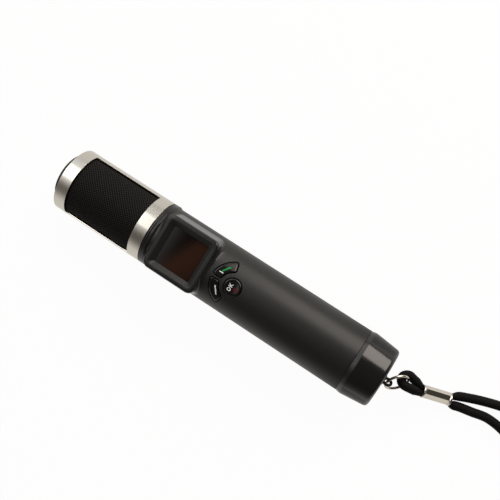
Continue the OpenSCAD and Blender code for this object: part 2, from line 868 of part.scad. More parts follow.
// Wrist loop, lying on the table in line with the barrel
wrist_path = [for (p = wrist_points) [x_end + p[0], p[1], p[2]]];

module wrist_cord() {
    color([0.07, 0.07, 0.07])
        cord_tube(wrist_path, squeezed(len(wrist_path)), ferrule_dir, -ferrule_dir);
}

head_cage();
intake_mesh();
nose_cap();
head_core();
head_seal();
fan_frame();
fan_rotor();
sensor_cell();
sensor_board();
front_shell();
back_shell();
shell_screws();
display_lens();
display_gasket();
display_module();
main_board();
key_switches();
key_ok();
key_left();
key_right();
buzzer();
battery_cell();
battery_cradle();
front_contact();
tail_sleeve();
tail_cap();
cap_contact();
tail_seal();
strap_eye();
jump_ring();
cord_bight();
cord_ferrule();
wrist_cord();
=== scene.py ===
"""Visual model of a torch-shaped handheld alcohol tester.

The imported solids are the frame. Each sub-assembly is a class: its sizes are fields in millimetres, and its
methods work out surfaces as numpy grids, put them into meshes and dress them in procedural finishes.
Plan points are (x, y) along and across the barrel, and heights are radii about the long axis.
"""

import logging
import math
from dataclasses import dataclass, field
from enum import Enum
from typing import Any, ClassVar, Optional, Sequence

import bmesh
import bpy
import numpy as np
from mathutils import Matrix, Vector


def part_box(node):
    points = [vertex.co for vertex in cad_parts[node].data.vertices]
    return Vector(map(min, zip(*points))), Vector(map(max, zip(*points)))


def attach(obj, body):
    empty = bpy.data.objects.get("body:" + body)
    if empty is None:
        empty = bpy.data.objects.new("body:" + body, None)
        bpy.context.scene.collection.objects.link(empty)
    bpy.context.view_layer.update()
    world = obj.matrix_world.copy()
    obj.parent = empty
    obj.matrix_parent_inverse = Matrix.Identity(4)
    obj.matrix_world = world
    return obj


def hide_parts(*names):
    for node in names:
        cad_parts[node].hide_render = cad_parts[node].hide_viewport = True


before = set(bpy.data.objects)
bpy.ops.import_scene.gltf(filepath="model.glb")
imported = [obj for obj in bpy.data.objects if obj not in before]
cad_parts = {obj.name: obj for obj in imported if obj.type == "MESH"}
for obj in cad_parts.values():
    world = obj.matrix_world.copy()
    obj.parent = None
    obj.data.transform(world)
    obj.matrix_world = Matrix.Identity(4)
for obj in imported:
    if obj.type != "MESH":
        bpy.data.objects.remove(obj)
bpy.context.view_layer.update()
LOG = logging.getLogger("alcohol_tester")
MM = 0.001
# Points of a mesh that are nearer than this are one point, in metres
JOIN = 1e-7
# Edges that turn by more than this stay sharp in the shading, in degrees
CREASE = 35.0
# Numbers of a Mix node's colour sockets, whose names its other sockets share
MIX_A, MIX_B, MIX_RESULT = 6, 7, 2


def linear(code: str) -> tuple[float, float, float, float]:
    """Turns an sRGB hex colour into the linear colour that a shader takes.

    A channel c up to 0.04045 becomes c / 12.92, and a higher one ((c + 0.055) / 1.055)^2.4.

    Args:
        code: colour such as "#3a3a38".

    Returns:
        Linear red, green, blue and an alpha of 1.
    """
    raw = np.array([int(code[k:k + 2], 16) for k in (1, 3, 5)]) / 255
    value = np.where(raw <= 0.04045, raw / 12.92, ((raw + 0.055) / 1.055) ** 2.4)
    return (*value.tolist(), 1.0)


def bare_tree(owner: Any) -> bpy.types.NodeTree:
    """Switches a material or a world to nodes and empties its node tree.

    Args:
        owner: the material or the world.

    Returns:
        The empty tree.
    """
    owner.use_nodes = True
    owner.node_tree.nodes.clear()
    return owner.node_tree


def add_node(
    tree: bpy.types.NodeTree,
    kind: str,
    settings: Optional[dict[Any, Any]] = None,
    links: Optional[dict[Any, bpy.types.NodeSocket]] = None,
) -> bpy.types.Node:
    """Adds one shader node.

    Args:
        tree: node tree that takes the node.
        kind: type name of the node.
        settings: values by socket name, socket number or node property.
        links: source sockets by the name or number of the input that they feed.

    Returns:
        The new node.
    """
    node = tree.nodes.new(kind)
    for key, value in (settings or {}).items():
        if isinstance(key, int) or key in node.inputs:
            node.inputs[key].default_value = value
        else:
            setattr(node, key, value)
    for key, source in (links or {}).items():
        tree.links.new(source, node.inputs[key])
    return node


class Pattern(Enum):
    """How a surface was made, which sets the fine pattern on it."""

    MOULDED = "even grain of a moulding tool"
    TURNED = "fine rings left by a lathe"
    RELIEF = "wires or strands, read from the mesh"
    PRINTED = "ink film with slight mottling"


@dataclass(frozen=True)
class Finish:
    """One material, named for what the real one is.

    Colours are sRGB, grain is the size of the pattern and depth its height, both in millimetres.
    """

    name: str
    base: str
    tone: str
    rough: tuple[float, float]
    pattern: Pattern = Pattern.MOULDED
    grain: float = 0.5
    depth: float = 0.02
    metallic: float = 0.0
    coat: float = 0.0
    sheen: float = 0.0
    specular: float = 0.5

    # Shared by all finishes: detail of the grain, strength of its bump, roughness of a clear coat
    noise: ClassVar[dict[str, float]] = {"Scale": 1.0, "Detail": 3.0, "Roughness": 0.6}
    bump: ClassVar[float] = 0.6
    coat_rough: ClassVar[float] = 0.06
    # Scale of the pattern along X, Y and Z: a lathe's rings run round the axis, so they are drawn out
    even: ClassVar[tuple[float, ...]] = (1.0, 1.0, 1.0)
    rings: ClassVar[tuple[float, ...]] = (1.0, 0.02, 0.02)

    def pattern_value(self, tree: bpy.types.NodeTree) -> bpy.types.NodeSocket:
        """Adds the nodes of the fine pattern.

        Args:
            tree: node tree of the material.

        Returns:
            Socket with a value from 0 to 1.
        """
        # Low places take the tone colour: painted shade in the holes of the wire cloth and in the seams of
        # the braid
        if self.pattern is Pattern.RELIEF:
            return add_node(tree, "ShaderNodeAttribute", {"attribute_name": "relief"}).outputs["Fac"]
        coords = add_node(tree, "ShaderNodeTexCoord").outputs["Object"]
        per_metre = 1 / (self.grain * MM)
        stretch = self.rings if self.pattern is Pattern.TURNED else self.even
        spread = add_node(
            tree, "ShaderNodeMapping", {"Scale": [per_metre * s for s in stretch]}, {"Vector": coords}
        )
        noise = add_node(tree, "ShaderNodeTexNoise", self.noise, {"Vector": spread.outputs["Vector"]})
        return noise.outputs["Fac"]

    def build(self) -> bpy.types.Material:
        """Makes the material once and hands out the same one after that.

        Returns:
            The material.
        """
        made = bpy.data.materials.get(self.name)
        if made:
            return made
        made = bpy.data.materials.new(self.name)
        tree = bare_tree(made)
        value = self.pattern_value(tree)
        colour = add_node(
            tree, "ShaderNodeMix",
            {"data_type": "RGBA", MIX_A: linear(self.tone), MIX_B: linear(self.base)},
            {0: value},
        )
        rough = add_node(
            tree, "ShaderNodeMapRange", {"To Min": self.rough[0], "To Max": self.rough[1]}, {"Value": value}
        )
        bump = add_node(
            tree, "ShaderNodeBump", {"Strength": self.bump, "Distance": self.depth * MM}, {"Height": value}
        )
        shader = add_node(
            tree, "ShaderNodeBsdfPrincipled",
            {
                "Metallic": self.metallic,
                "Coat Weight": self.coat,
                "Coat Roughness": self.coat_rough,
                "Sheen Weight": self.sheen,
                "Specular IOR Level": self.specular,
            },
            {
                "Base Color": colour.outputs[MIX_RESULT],
                "Roughness": rough.outputs["Result"],
                "Normal": bump.outputs["Normal"],
            },
        )
        add_node(tree, "ShaderNodeOutputMaterial", None, {"Surface": shader.outputs["BSDF"]})
        return made


@dataclass(frozen=True)
class PaintedSheenWindow(Finish):
    """Finish of a tinted plate with a painted reflection: dark to one side of a slanted line, a warm painted
    sheen past it, then fading with distance.

    The line goes through point, slant is the plan direction square to it, and soft is the width of the
    change. fade gives where the fading starts and ends, in millimetres past the line, and the share left.
    """

    point: tuple[float, float] = (0.0, 0.0)
    slant: tuple[float, float] = (0.894, -0.447)
    soft: float = 9.0
    fade: tuple[float, float, float] = (6.0, 22.0, 0.45)

    def pattern_value(self, tree: bpy.types.NodeTree) -> bpy.types.NodeSocket:
        """Adds a soft step up across the slanted line, times a slow step down to a share of it further on.

        Args:
            tree: node tree of the material.

        Returns:
            Socket with a value from 0 to 1.
        """
        coords = add_node(tree, "ShaderNodeTexCoord").outputs["Object"]
        origin = (self.point[0] * MM, self.point[1] * MM, 0)
        away = add_node(tree, "ShaderNodeVectorMath", {"operation": "SUBTRACT", 1: origin}, {0: coords})
        across = add_node(
            tree, "ShaderNodeVectorMath",
            {"operation": "DOT_PRODUCT", 1: (*self.slant, 0)},
            {0: away.outputs["Vector"]},
        )
        near, far, share = self.fade
        steps = [
            add_node(
                tree, "ShaderNodeMapRange",
                {
                    "interpolation_type": "SMOOTHSTEP",
                    "From Min": start * MM,
                    "From Max": end * MM,
                    "To Min": before,
                    "To Max": after,
                },
                {"Value": across.outputs["Value"]},
            ).outputs["Result"]
            for start, end, before, after in (
                (-self.soft / 2, self.soft / 2, 0.0, 1.0),
                (near, far, 1.0, share),
            )
        ]
        # The product of the two steps is where the painted sheen lies on the plate
        both = add_node(tree, "ShaderNodeMath", {"operation": "MULTIPLY"}, dict(enumerate(steps)))
        return both.outputs[0]


# Anodised aluminium, bead blasted and then turned: a soft white sheen with faint rings round the axis
SATIN_ALUMINIUM = Finish(
    "satin anodised aluminium", "#d6d2ca", "#cbc7be", (0.2, 0.26), Pattern.TURNED, 0.25, 0.004, metallic=1.0
)
# Black lacquered wire cloth: pure black painted shade in the holes, and a thin grey painted highlight on the
# wires' backs
BLACK_WIRE = Finish(
    "black lacquered wire cloth", "#2c2826", "#000000", (0.8, 0.45), Pattern.RELIEF, depth=0.05, specular=0.12
)
# Soft-touch paint on ABS: dark charcoal with a broad dim highlight, its 0.1 mm grain drawn at 0.45 mm to show
SOFT_TOUCH = Finish(
    "soft-touch painted ABS", "#1c1c1b", "#171716", (0.38, 0.46), grain=0.45, depth=0.008, specular=0.4
)
# The same paint rubbed smooth on the collar and the display frame: crisp light lines along their edges
RUBBED_PAINT = Finish(
    "rubbed painted ABS", "#1c1c1b", "#171716", (0.18, 0.24), grain=0.45, depth=0.003, specular=0.4
)
# Moulded ABS for trim: black with a fine spark-eroded grain
TRIM_ABS = Finish("spark-grained black ABS", "#141414", "#0e0e0e", (0.4, 0.55), grain=0.4, depth=0.015)
# Rubber keys with a clear lacquer: black faces that stay dark, with thin bright lines along their round edges
KEY_RUBBER = Finish("lacquered rubber", "#101010", "#0b0b0b", (0.12, 0.18), grain=0.6, depth=0.003)
# Moulded nylon of the swivel eye: deep black with a dull, broad highlight
BLACK_NYLON = Finish("black nylon", "#0c0c0c", "#070707", (0.42, 0.55), grain=0.5, depth=0.01, specular=0.15)
# Smoked acrylic over an unlit panel: near black, with a red-brown painted sheen towards one corner, and
# mirror smooth
SMOKED_ACRYLIC = PaintedSheenWindow(
    "smoked acrylic", "#2d1b13", "#110c09", (0.05, 0.05), depth=0.0, specular=0.35, point=(-28.5, -1.0)
)
# Polished ABS of the tail cap: the same charcoal, smooth enough to mirror the light panel's edges
POLISHED_ABS = Finish(
    "polished charcoal ABS", "#181817", "#141413", (0.17, 0.22), grain=0.8, depth=0.002, coat=0.2
)
# Nickel-plated brass wire and tube: bright, slightly warm
NICKEL = Finish(
    "polished nickel plate", "#ddd8ce", "#cfc9bd", (0.13, 0.17), grain=1.2, depth=0.0005, metallic=1.0
)
# Braided polyester cord: black yarn with near-black painted shade in the seams between the strands, and a
# faint fibre sheen
BRAID = Finish(
    "braided black polyester", "#0d0c0c", "#010101", (0.85, 0.6), Pattern.RELIEF, depth=0.12, sheen=0.02,
    specular=0.14,
)
# Screen-printed inks on the keys: flat, slightly mottled films, the coloured ones dull
INK_WHITE = Finish("white screen ink", "#f2f2ee", "#dcdcd6", (0.4, 0.5), Pattern.PRINTED, 0.6, 0.004)
INK_RED = Finish(
    "red screen ink", "#6a1218", "#520d12", (0.4, 0.5), Pattern.PRINTED, 0.6, 0.004, specular=0.2
)
INK_GREEN = Finish(
    "green screen ink", "#128c42", "#0e7438", (0.4, 0.5), Pattern.PRINTED, 0.6, 0.004, specular=0.2
)
# Moulded nitrile rings and foam: dull dark grey without a highlight
NITRILE = Finish("matte nitrile rubber", "#121212", "#0a0a0a", (0.75, 0.9), grain=0.3, depth=0.02)
# Glass-fibre board under green solder mask: the cloth shows as a faint mottling
SOLDER_MASK = Finish(
    "green solder mask on glass fibre", "#1d6136", "#154a29", (0.3, 0.45), grain=0.9, depth=0.01, coat=0.3
)
# Deep-drawn nickel-plated can of the sensor: a soft grey shine
NICKEL_CAN = Finish(
    "nickel-plated steel can", "#bdb8a8", "#a39e8f", (0.25, 0.38), grain=0.8, depth=0.006, metallic=1.0
)
# Blue shrink wrap on the cell: smooth film with slight waves
SHRINK_WRAP = Finish("blue shrink film", "#24549a", "#1b4380", (0.2, 0.32), grain=4.0, depth=0.03, coat=0.3)
# Rolled brass of the sprung contacts: yellow with a soft shine
BRASS = Finish("rolled brass", "#c9a657", "#b08d42", (0.25, 0.4), grain=0.6, depth=0.006, metallic=1.0)
# Zinc plate on the screws: pale grey, slightly blue
ZINC = Finish("zinc-plated steel", "#b4b5b8", "#94969a", (0.28, 0.42), grain=0.5, depth=0.008, metallic=1.0)
# Glass face of the unlit display module: dark grey under a clear reflection
PANEL_GLASS = Finish(
    "unlit display glass", "#23262a", "#191b1f", (0.06, 0.12), grain=8.0, depth=0.0, coat=0.5
)


@dataclass
class Shape:
    """Points in millimetres and faces of one or more closed surfaces, collected into one mesh."""

    points: list[np.ndarray] = field(default_factory=list)
    faces: list[Sequence[int]] = field(default_factory=list)
    count: int = 0

    def add(self, points: np.ndarray, faces: list[Sequence[int]]) -> None:
        """Adds one closed surface, turned so that its faces point outwards.

        The signed volume is the sum over fan triangles of p0 . (p1 x p2) / 6, and where it is negative the
        surface is inside out.

        Args:
            points: corner points, one per row.
            faces: corner numbers of each face.
        """
        fans = np.array([(f[0], f[k], f[k + 1]) for f in faces for k in range(1, len(f) - 1)])
        middle = points - points.mean(axis=0)
        p0, p1, p2 = (middle[fans[:, k]] for k in range(3))
        inside_out = np.einsum("ij,ij->i", p0, np.cross(p1, p2)).sum() < 0
        self.points.append(points)
        self.faces += [[i + self.count for i in (f[::-1] if inside_out else f)] for f in faces]
        self.count += len(points)

    def add_grid(self, grid: np.ndarray, close_rows: bool = False, caps: bool = False) -> None:
        """Adds a grid of points whose columns run round a closed loop.

        Args:
            grid: array of rows, columns and 3 coordinates.
            close_rows: joins the last row to the first, as on a ring.
            caps: closes the first and the last row with one face each.
        """
        rows, cols = grid.shape[:2]
        starts = np.arange(rows if close_rows else rows - 1)
        row, col = np.meshgrid(starts, np.arange(cols), indexing="ij")
        below, right = (row + 1) % rows, (col + 1) % cols
        quads = np.stack(
            [row * cols + col, row * cols + right, below * cols + right, below * cols + col], axis=-1
        ).reshape(-1, 4)
        faces = quads.tolist()
        if caps:
            faces += [list(range(cols))[::-1], list(range((rows - 1) * cols, rows * cols))]
        self.add(grid.reshape(-1, 3), faces)

    def piece(self, name: str, crease_deg: float = CREASE, merge: bool = True) -> bpy.types.Object:
        """Makes the mesh object.

        Args:
            name: name of the piece.
            crease_deg: edges sharper than this stay sharp in the shading.
            merge: joins points that lie on each other.

        Returns:
            The new object, at the origin.
        """
        mesh = bpy.data.meshes.new(name)
        mesh.from_pydata((np.concatenate(self.points) * MM).tolist(), [], self.faces)
        if merge:
            work = bmesh.new()
            work.from_mesh(mesh)
            bmesh.ops.remove_doubles(work, verts=work.verts, dist=JOIN)
            bmesh.ops.dissolve_degenerate(work, edges=work.edges, dist=JOIN)
            work.to_mesh(mesh)
            work.free()
        made = bpy.data.objects.new(name, mesh)
        bpy.context.scene.collection.objects.link(made)
        shade(made, crease_deg)
        return made


def grid_piece(
    name: str,
    grid: np.ndarray,
    close_rows: bool = False,
    caps: bool = False,
    crease_deg: float = CREASE,
    merge: bool = True,
) -> bpy.types.Object:
    """Makes a piece of one grid of points.

    Args:
        name: name of the piece.
        grid: array of rows, columns and 3 coordinates, whose columns run round a closed loop.
        close_rows: joins the last row to the first, as on a ring.
        caps: closes the first and the last row with one face each.
        crease_deg: edges sharper than this stay sharp in the shading.
        merge: joins points that lie on each other.

    Returns:
        The new object, at the origin.
    """
    shape = Shape()
    shape.add_grid(grid, close_rows, caps)
    return shape.piece(name, crease_deg, merge)


def shade(made: bpy.types.Object, crease_deg: float) -> None:
    """Shades a mesh smooth, with sharp edges where it turns by more than the given angle."""
    made.data.shade_smooth()
    made.data.set_sharp_from_angle(angle=math.radians(crease_deg))


def store_relief(made: bpy.types.Object, values: np.ndarray) -> None:
    """Keeps a value from 0 to 1 at each point of a mesh, for the pattern of wires or strands."""
    layer = made.data.attributes.new("relief", "FLOAT", "POINT")
    layer.data.foreach_set("value", values.astype(np.float32).ravel())


def carve(
    body: bpy.types.Object, tools: Sequence[tuple[bpy.types.Object, str]], crease_deg: float = CREASE
) -> None:
    """Adds and cuts closed shapes and keeps the result as the body's own mesh.

    Args:
        body: object that is changed.
        tools: pairs of object and boolean operation, used in order and then deleted.
        crease_deg: edges sharper than this stay sharp in the shading.
    """
    for tool, operation in tools:
        step = body.modifiers.new(operation.lower(), "BOOLEAN")
        step.operation = operation
        step.solver = "EXACT"
        step.object = tool
    bpy.context.view_layer.update()
    graph = bpy.context.evaluated_depsgraph_get()
    mesh = bpy.data.meshes.new_from_object(body.evaluated_get(graph))
    body.modifiers.clear()
    body.data = mesh
    mesh.name = body.name
    for tool, _ in tools:
        bpy.data.objects.remove(tool)
    shade(body, crease_deg)


def install(piece: bpy.types.Object, finish: Finish, body: str, slot: str, *nodes: str) -> bpy.types.Object:
    """Dresses a finished piece, puts it on its body and reports it.

    Args:
        piece: mesh object at the origin.
        finish: finish of its whole surface.
        body: body of the frame that carries it.
        slot: material slot of the record, not used.
        nodes: nodes of the frame that it stands for.

    Returns:
        The same piece.
    """
    piece.data.materials.clear()
    piece.data.materials.append(finish.build())
    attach(piece, body)
    if nodes:
        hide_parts(*nodes)
    LOG.info("%s: %d faces of %s on %s", piece.name, len(piece.data.polygons), finish.name, body)
    return piece


def node_box(node: str) -> np.ndarray:
    """Lowest and highest corner of a node of the frame, in millimetres."""
    return np.array([list(corner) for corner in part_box(node)]) / MM


# Height of the long axis above the table
AXIS_Z = float(node_box("head_cage")[:, 2].mean())


def even_angles(steps: int) -> np.ndarray:
    """Angles spread evenly over a full turn, the last one a step short of it."""
    return np.linspace(0, 2 * math.pi, steps, endpoint=False)


def around(x: np.ndarray, r: np.ndarray, angle: np.ndarray) -> np.ndarray:
    """Point at radius r and an angle a from straight up towards +Y: (x, r sin a, axis + r cos a)."""
    x, r, angle = np.broadcast_arrays(x, r, angle)
    return np.stack([x, r * np.sin(angle), AXIS_Z + r * np.cos(angle)], axis=-1)


def on_barrel(plan: np.ndarray, r: Any) -> np.ndarray:
    """Lifts plan points straight up to radius r: z = axis + sqrt(r^2 - y^2)."""
    height = np.sqrt(np.maximum(np.asarray(r) ** 2 - plan[..., 1] ** 2, 0))
    return np.concatenate([plan, (AXIS_Z + height)[..., None]], axis=-1)


def at_height(plan: np.ndarray, z: Any) -> np.ndarray:
    """Puts plan points at a height above the axis."""
    height = np.broadcast_to(np.asarray(z, float) + AXIS_Z, plan.shape[:-1])
    return np.concatenate([plan, height[..., None]], axis=-1)


def unit(v: np.ndarray) -> np.ndarray:
    """Scales each vector to a length of 1."""
    return v / np.linalg.norm(v, axis=-1, keepdims=True)


def lengths(line: np.ndarray) -> np.ndarray:
    """Distance along a polyline from its start to each of its points."""
    return np.concatenate([[0], np.cumsum(np.linalg.norm(np.diff(line, axis=0), axis=1))])


def rounded(corners: Sequence[tuple[float, float, float]], steps: int = 5) -> np.ndarray:
    """Open outline through corner points, each cut back by its own reach and bridged by a quadratic curve.

    The curve at corner C with ends A and B is (1-t)^2 A + 2t(1-t) C + t^2 B.

    Args:
        corners: rows of two coordinates and the reach of the round, 0 for a sharp corner.
        steps: pieces of each round.

    Returns:
        Points of the outline.
    """
    places = np.array([c[:2] for c in corners], float)
    t = np.linspace(0, 1, steps + 1)[:, None]
    pieces = [places[:1]]
    for k in range(1, len(corners) - 1):
        reach = corners[k][2]
        here = places[k]
        if reach <= 0:
            pieces.append(here[None])
            continue
        start = here + reach * unit(places[k - 1] - here)
        end = here + reach * unit(places[k + 1] - here)
        pieces.append((1 - t) ** 2 * start + 2 * t * (1 - t) * here + t ** 2 * end)
    pieces.append(places[-1:])
    return np.concatenate(pieces)


def refined(line: np.ndarray, longest: float = 2.0, nearest: float = 1e-4) -> np.ndarray:
    """Adds points to a polyline, evenly along it.

    Args:
        line: points of the polyline.
        longest: no piece of the result is longer than this.
        nearest: a point this close to the one before it is left out.

    Returns:
        The old points and the added ones, in order.
    """
    run = lengths(line)
    extra = np.linspace(0, run[-1], int(run[-1] / longest) + 2)
    at = np.unique(np.concatenate([run, extra]).round(6))
    keep = at[np.concatenate([[True], np.diff(at) > nearest])]
    return np.stack([np.interp(keep, run, line[:, k]) for k in range(line.shape[1])], axis=-1)


def turned(profile: np.ndarray, steps: int = 160) -> np.ndarray:
    """Turns a profile of (x, r) about the long axis into a grid, one row per profile point."""
    return around(profile[:, :1], profile[:, 1:2], even_angles(steps)[None])


@dataclass(frozen=True)
class Outline:
    """Closed plan outline, kept as a core line and outward directions.

    At any growth it is core + (reach + growth) out, and heart is the line or point that it closes in on.
    """

    core: np.ndarray
    out: np.ndarray
    reach: float
    heart: np.ndarray

    def at(self, grow: float = 0.0) -> np.ndarray:
        """Outline grown by an even distance."""
        return self.core + (self.reach + grow) * self.out

    def inward(self, share: float) -> np.ndarray:
        """Loop part of the way from the core to the heart of the outline, which closes it."""
        return self.core + share * (self.heart - self.core)

    def turned_to(self, place: Sequence[float], angle_deg: float = 0.0, flip: bool = False) -> "Outline":
        """Mirrors the outline across X if asked, turns it and moves it in the plan.

        Args:
            place: plan point that its origin goes to.
            angle_deg: turn from +X towards +Y.
            flip: mirrors it first.

        Returns:
            The outline at its place.
        """
        a = math.radians(angle_deg)
        turn = np.array([[math.cos(a), math.sin(a)], [-math.sin(a), math.cos(a)]])
        side = np.array([1.0, -1.0 if flip else 1.0])
        move = np.asarray(place, float)
        core, out, heart = ((part * side) @ turn for part in (self.core, self.out, self.heart))
        return Outline(core + move, out, self.reach, heart + move)


def corner_fan(
    centre: Sequence[float], start: float, end: float, steps: int
) -> tuple[np.ndarray, np.ndarray]:
    """Core and directions of a round corner: one centre, with directions from one angle to another."""
    a = np.linspace(start, end, steps)
    return np.tile(np.asarray(centre, float), (steps, 1)), np.stack([np.cos(a), np.sin(a)], axis=-1)


def rectangle(half_x: float, half_y: float, corner: float, fan: int = 9, edge: int = 12) -> Outline:
    """Outline of a rectangle with round corners.

    Args:
        half_x: half length.
        half_y: half width.
        corner: radius of the corners.
        fan: points on each corner.
        edge: points added along each straight edge.

    Returns:
        The outline about the plan's origin.
    """
    a, b = half_x - corner, half_y - corner
    centres = np.array([[a, b], [-a, b], [-a, -b], [a, -b]])
    share = np.linspace(0, 1, edge + 2)[1:-1, None]
    cores, outs = [], []
    for k in range(4):
        core, out = corner_fan(centres[k], k * math.pi / 2, (k + 1) * math.pi / 2, fan)
        cores += [core, centres[k] + share * (centres[(k + 1) % 4] - centres[k])]
        outs += [out, np.tile(out[-1], (edge, 1))]
    core = np.concatenate(cores)
    short = min(a, b)
    heart = np.clip(core, [-(a - short), -(b - short)], [a - short, b - short])
    return Outline(core, np.concatenate(outs), corner, heart)


def disc(radius: float, steps: int = 72) -> Outline:
    """Outline of a circle, with its middle as core and heart."""
    core, out = corner_fan((0, 0), 0, 2 * math.pi * (1 - 1 / steps), steps)
    return Outline(core, out, radius, core)


@dataclass
class Studio:
    """Camera, lights, floor and surroundings. The camera's place is in millimetres, all else in metres."""

    camera_mm: tuple[float, float, float] = (97.6, 78.2, 515.3)
    right: tuple[float, float, float] = (0.82891, 0.517367, -0.212695)
    down: tuple[float, float, float] = (0.528868, -0.848698, -0.003313)
    focal_px: float = 802.8
    picture_px: float = 500.0
    sensor: float = 36.0
    near: float = 0.01

    floor_side: float = 4.0
    floor_drop: float = 0.0002
    floor_paper: str = "#f2f2f2"
    # Share of the floor's own glow in what the camera sees of it
    floor_glow: float = 0.96
    # Floor as polished pieces mirror it: brightness, a lower brightness beside the tail cap that is a painted
    # shadow, and tint
    floor_mirrored: tuple[float, float, str] = (1.0, 0.48, "#ebe7e2")
    # X where that brightness starts to fall into the painted shadow, has fallen, starts to rise and has risen
    floor_shadow_x: tuple[float, float, float, float] = (0.07, 0.105, 0.122, 0.142)

    sky_light: float = 0.4
    wall_tint: tuple[float, float, float] = (1.0, 0.9, 0.8)
    # X of the directions at which the bright wall past the head ends, and half the width of that change
    wall_edge: float = -0.268
    wall_edge_soft: float = 0.012
    # Brightness by angle in degrees about the long axis, from straight up towards +Y: past the head, overhead
    far_wall: ClassVar[Sequence[tuple[float, ...]]] = (
        (-180, 0.8), (-96, 0.85), (-81, 0.7), (-67, 0.4), (-55, 0.2), (-43, 0.17), (-32, 0.2), (-21, 0.43),
        (-11, 0.86), (-1, 1.0), (62, 1.0), (74, 0.88), (86, 0.76), (112, 0.76), (132, 0.8), (180, 0.8),
    )
    overhead: ClassVar[Sequence[tuple[float, ...]]] = (
        (-180, 0.5), (-96, 0.5), (-85, 0.4), (-72, 0.12), (-58, 0.05), (75, 0.05), (90, 0.12), (180, 0.5),
    )

    panel_distance: float = 0.9
    # Soft panels: name, colour, watts, angle from straight up towards +Y, shift along X, length and width
    panels: ClassVar[Sequence[tuple[Any, ...]]] = (
        ("key panel", (1.0, 0.92, 0.84), 7.6, 59.0, 0.22, 0.74, 0.72),
        ("head panel", (1.0, 0.97, 0.94), 1.95, 21.6, -0.545, 0.45, 0.76),
    )

    def add_camera(self) -> None:
        """Sets up the camera at the photograph's place, nearly overhead and beyond the tail."""
        data = bpy.data.cameras.new("camera")
        data.sensor_width = self.sensor
        data.lens = self.focal_px / self.picture_px * self.sensor
        data.clip_start = self.near
        made = bpy.data.objects.new("camera", data)
        right = Vector(self.right).normalized()
        up = -Vector(self.down).normalized()
        turn = Matrix((right, up, right.cross(up))).transposed().to_4x4()
        made.matrix_world = Matrix.Translation(Vector(self.camera_mm) * MM) @ turn
        bpy.context.scene.collection.objects.link(made)
        bpy.context.scene.camera = made

    @staticmethod
    def seen_directly(tree: bpy.types.NodeTree) -> bpy.types.NodeSocket:
        """Adds a switch for what is seen, in person or through a mirror or glass.

        Args:
            tree: node tree that takes the switch.

        Returns:
            Socket that is 1 for camera, glossy and transmission rays and 0 for light that falls on things.
        """
        path = add_node(tree, "ShaderNodeLightPath").outputs
        first = add_node(
            tree, "ShaderNodeMath", {"operation": "MAXIMUM"},
            {0: path["Is Camera Ray"], 1: path["Is Glossy Ray"]},
        )
        both = add_node(
            tree, "ShaderNodeMath", {"operation": "MAXIMUM"},
            {0: first.outputs[0], 1: path["Is Transmission Ray"]},
        )
        return both.outputs[0]

    def floor_strength(self, tree: bpy.types.NodeTree, camera: bpy.types.NodeSocket) -> bpy.types.NodeSocket:
        """Adds the strength of the floor's glow: 1 for the camera, and for mirrors a fall into a painted
        shadow beside the tail cap and a rise along X.

        Args:
            tree: node tree of the floor's material.
            camera: socket that is 1 for camera rays.

        Returns:
            Socket with the strength.
        """
        # dim is the painted shadow that mirrors see on the floor beside the tail cap
        bright, dim, _ = self.floor_mirrored
        coords = add_node(tree, "ShaderNodeTexCoord").outputs["Object"]
        along = add_node(tree, "ShaderNodeSeparateXYZ", None, {0: coords}).outputs["X"]
        steps = [
            add_node(
                tree, "ShaderNodeMapRange",
                {"From Min": start, "From Max": end, "To Min": before, "To Max": after},
                {"Value": along},
            ).outputs["Result"]
            for (start, end), (before, after) in (
                (self.floor_shadow_x[:2], (bright, dim)),
                (self.floor_shadow_x[2:], (dim, bright)),
            )
        ]
        level = add_node(tree, "ShaderNodeMath", {"operation": "MAXIMUM"}, dict(enumerate(steps)))
        strength = add_node(
            tree, "ShaderNodeMath", {"operation": "MAXIMUM"}, {0: camera, 1: level.outputs[0]}
        )
        return strength.outputs[0]

    def add_floor(self) -> None:
        """Lays a white floor.

        The camera sees a mix of its glow and of lit paper, so it is white and keeps a faint shadow. Mirrors
        see the glow alone, with a tint and a painted shadow beside the tail cap, and other light meets plain
        paper.
        """
        half, low = self.floor_side / 2, -self.floor_drop
        mesh = bpy.data.meshes.new("floor")
        corners = [(-half, -half, low), (half, -half, low), (half, half, low), (-half, half, low)]
        mesh.from_pydata(corners, [], [(0, 1, 2, 3)])
        made = bpy.data.objects.new("floor", mesh)
        bpy.context.scene.collection.objects.link(made)
        paper = bpy.data.materials.new("white paper")
        tree = bare_tree(paper)
        path = add_node(tree, "ShaderNodeLightPath").outputs
        camera = path["Is Camera Ray"]
        strength = self.floor_strength(tree, camera)
        share = add_node(
            tree, "ShaderNodeMath",
            {"operation": "MULTIPLY_ADD", 1: self.floor_glow},
            {0: camera, 2: path["Is Glossy Ray"]},
        )
        plain = add_node(tree, "ShaderNodeBsdfDiffuse", {"Color": linear(self.floor_paper)})
        white = add_node(
            tree, "ShaderNodeMix",
            {"data_type": "RGBA", MIX_A: linear(self.floor_mirrored[2]), MIX_B: linear("#ffffff")},
            {0: camera},
        )
        glow = add_node(
            tree, "ShaderNodeEmission", None, {"Color": white.outputs[MIX_RESULT], "Strength": strength}
        )
        mix = add_node(
            tree, "ShaderNodeMixShader", None,
            {0: share.outputs[0], 1: plain.outputs["BSDF"], 2: glow.outputs["Emission"]},
        )
        add_node(tree, "ShaderNodeOutputMaterial", None, {"Surface": mix.outputs["Shader"]})
        mesh.materials.append(paper)

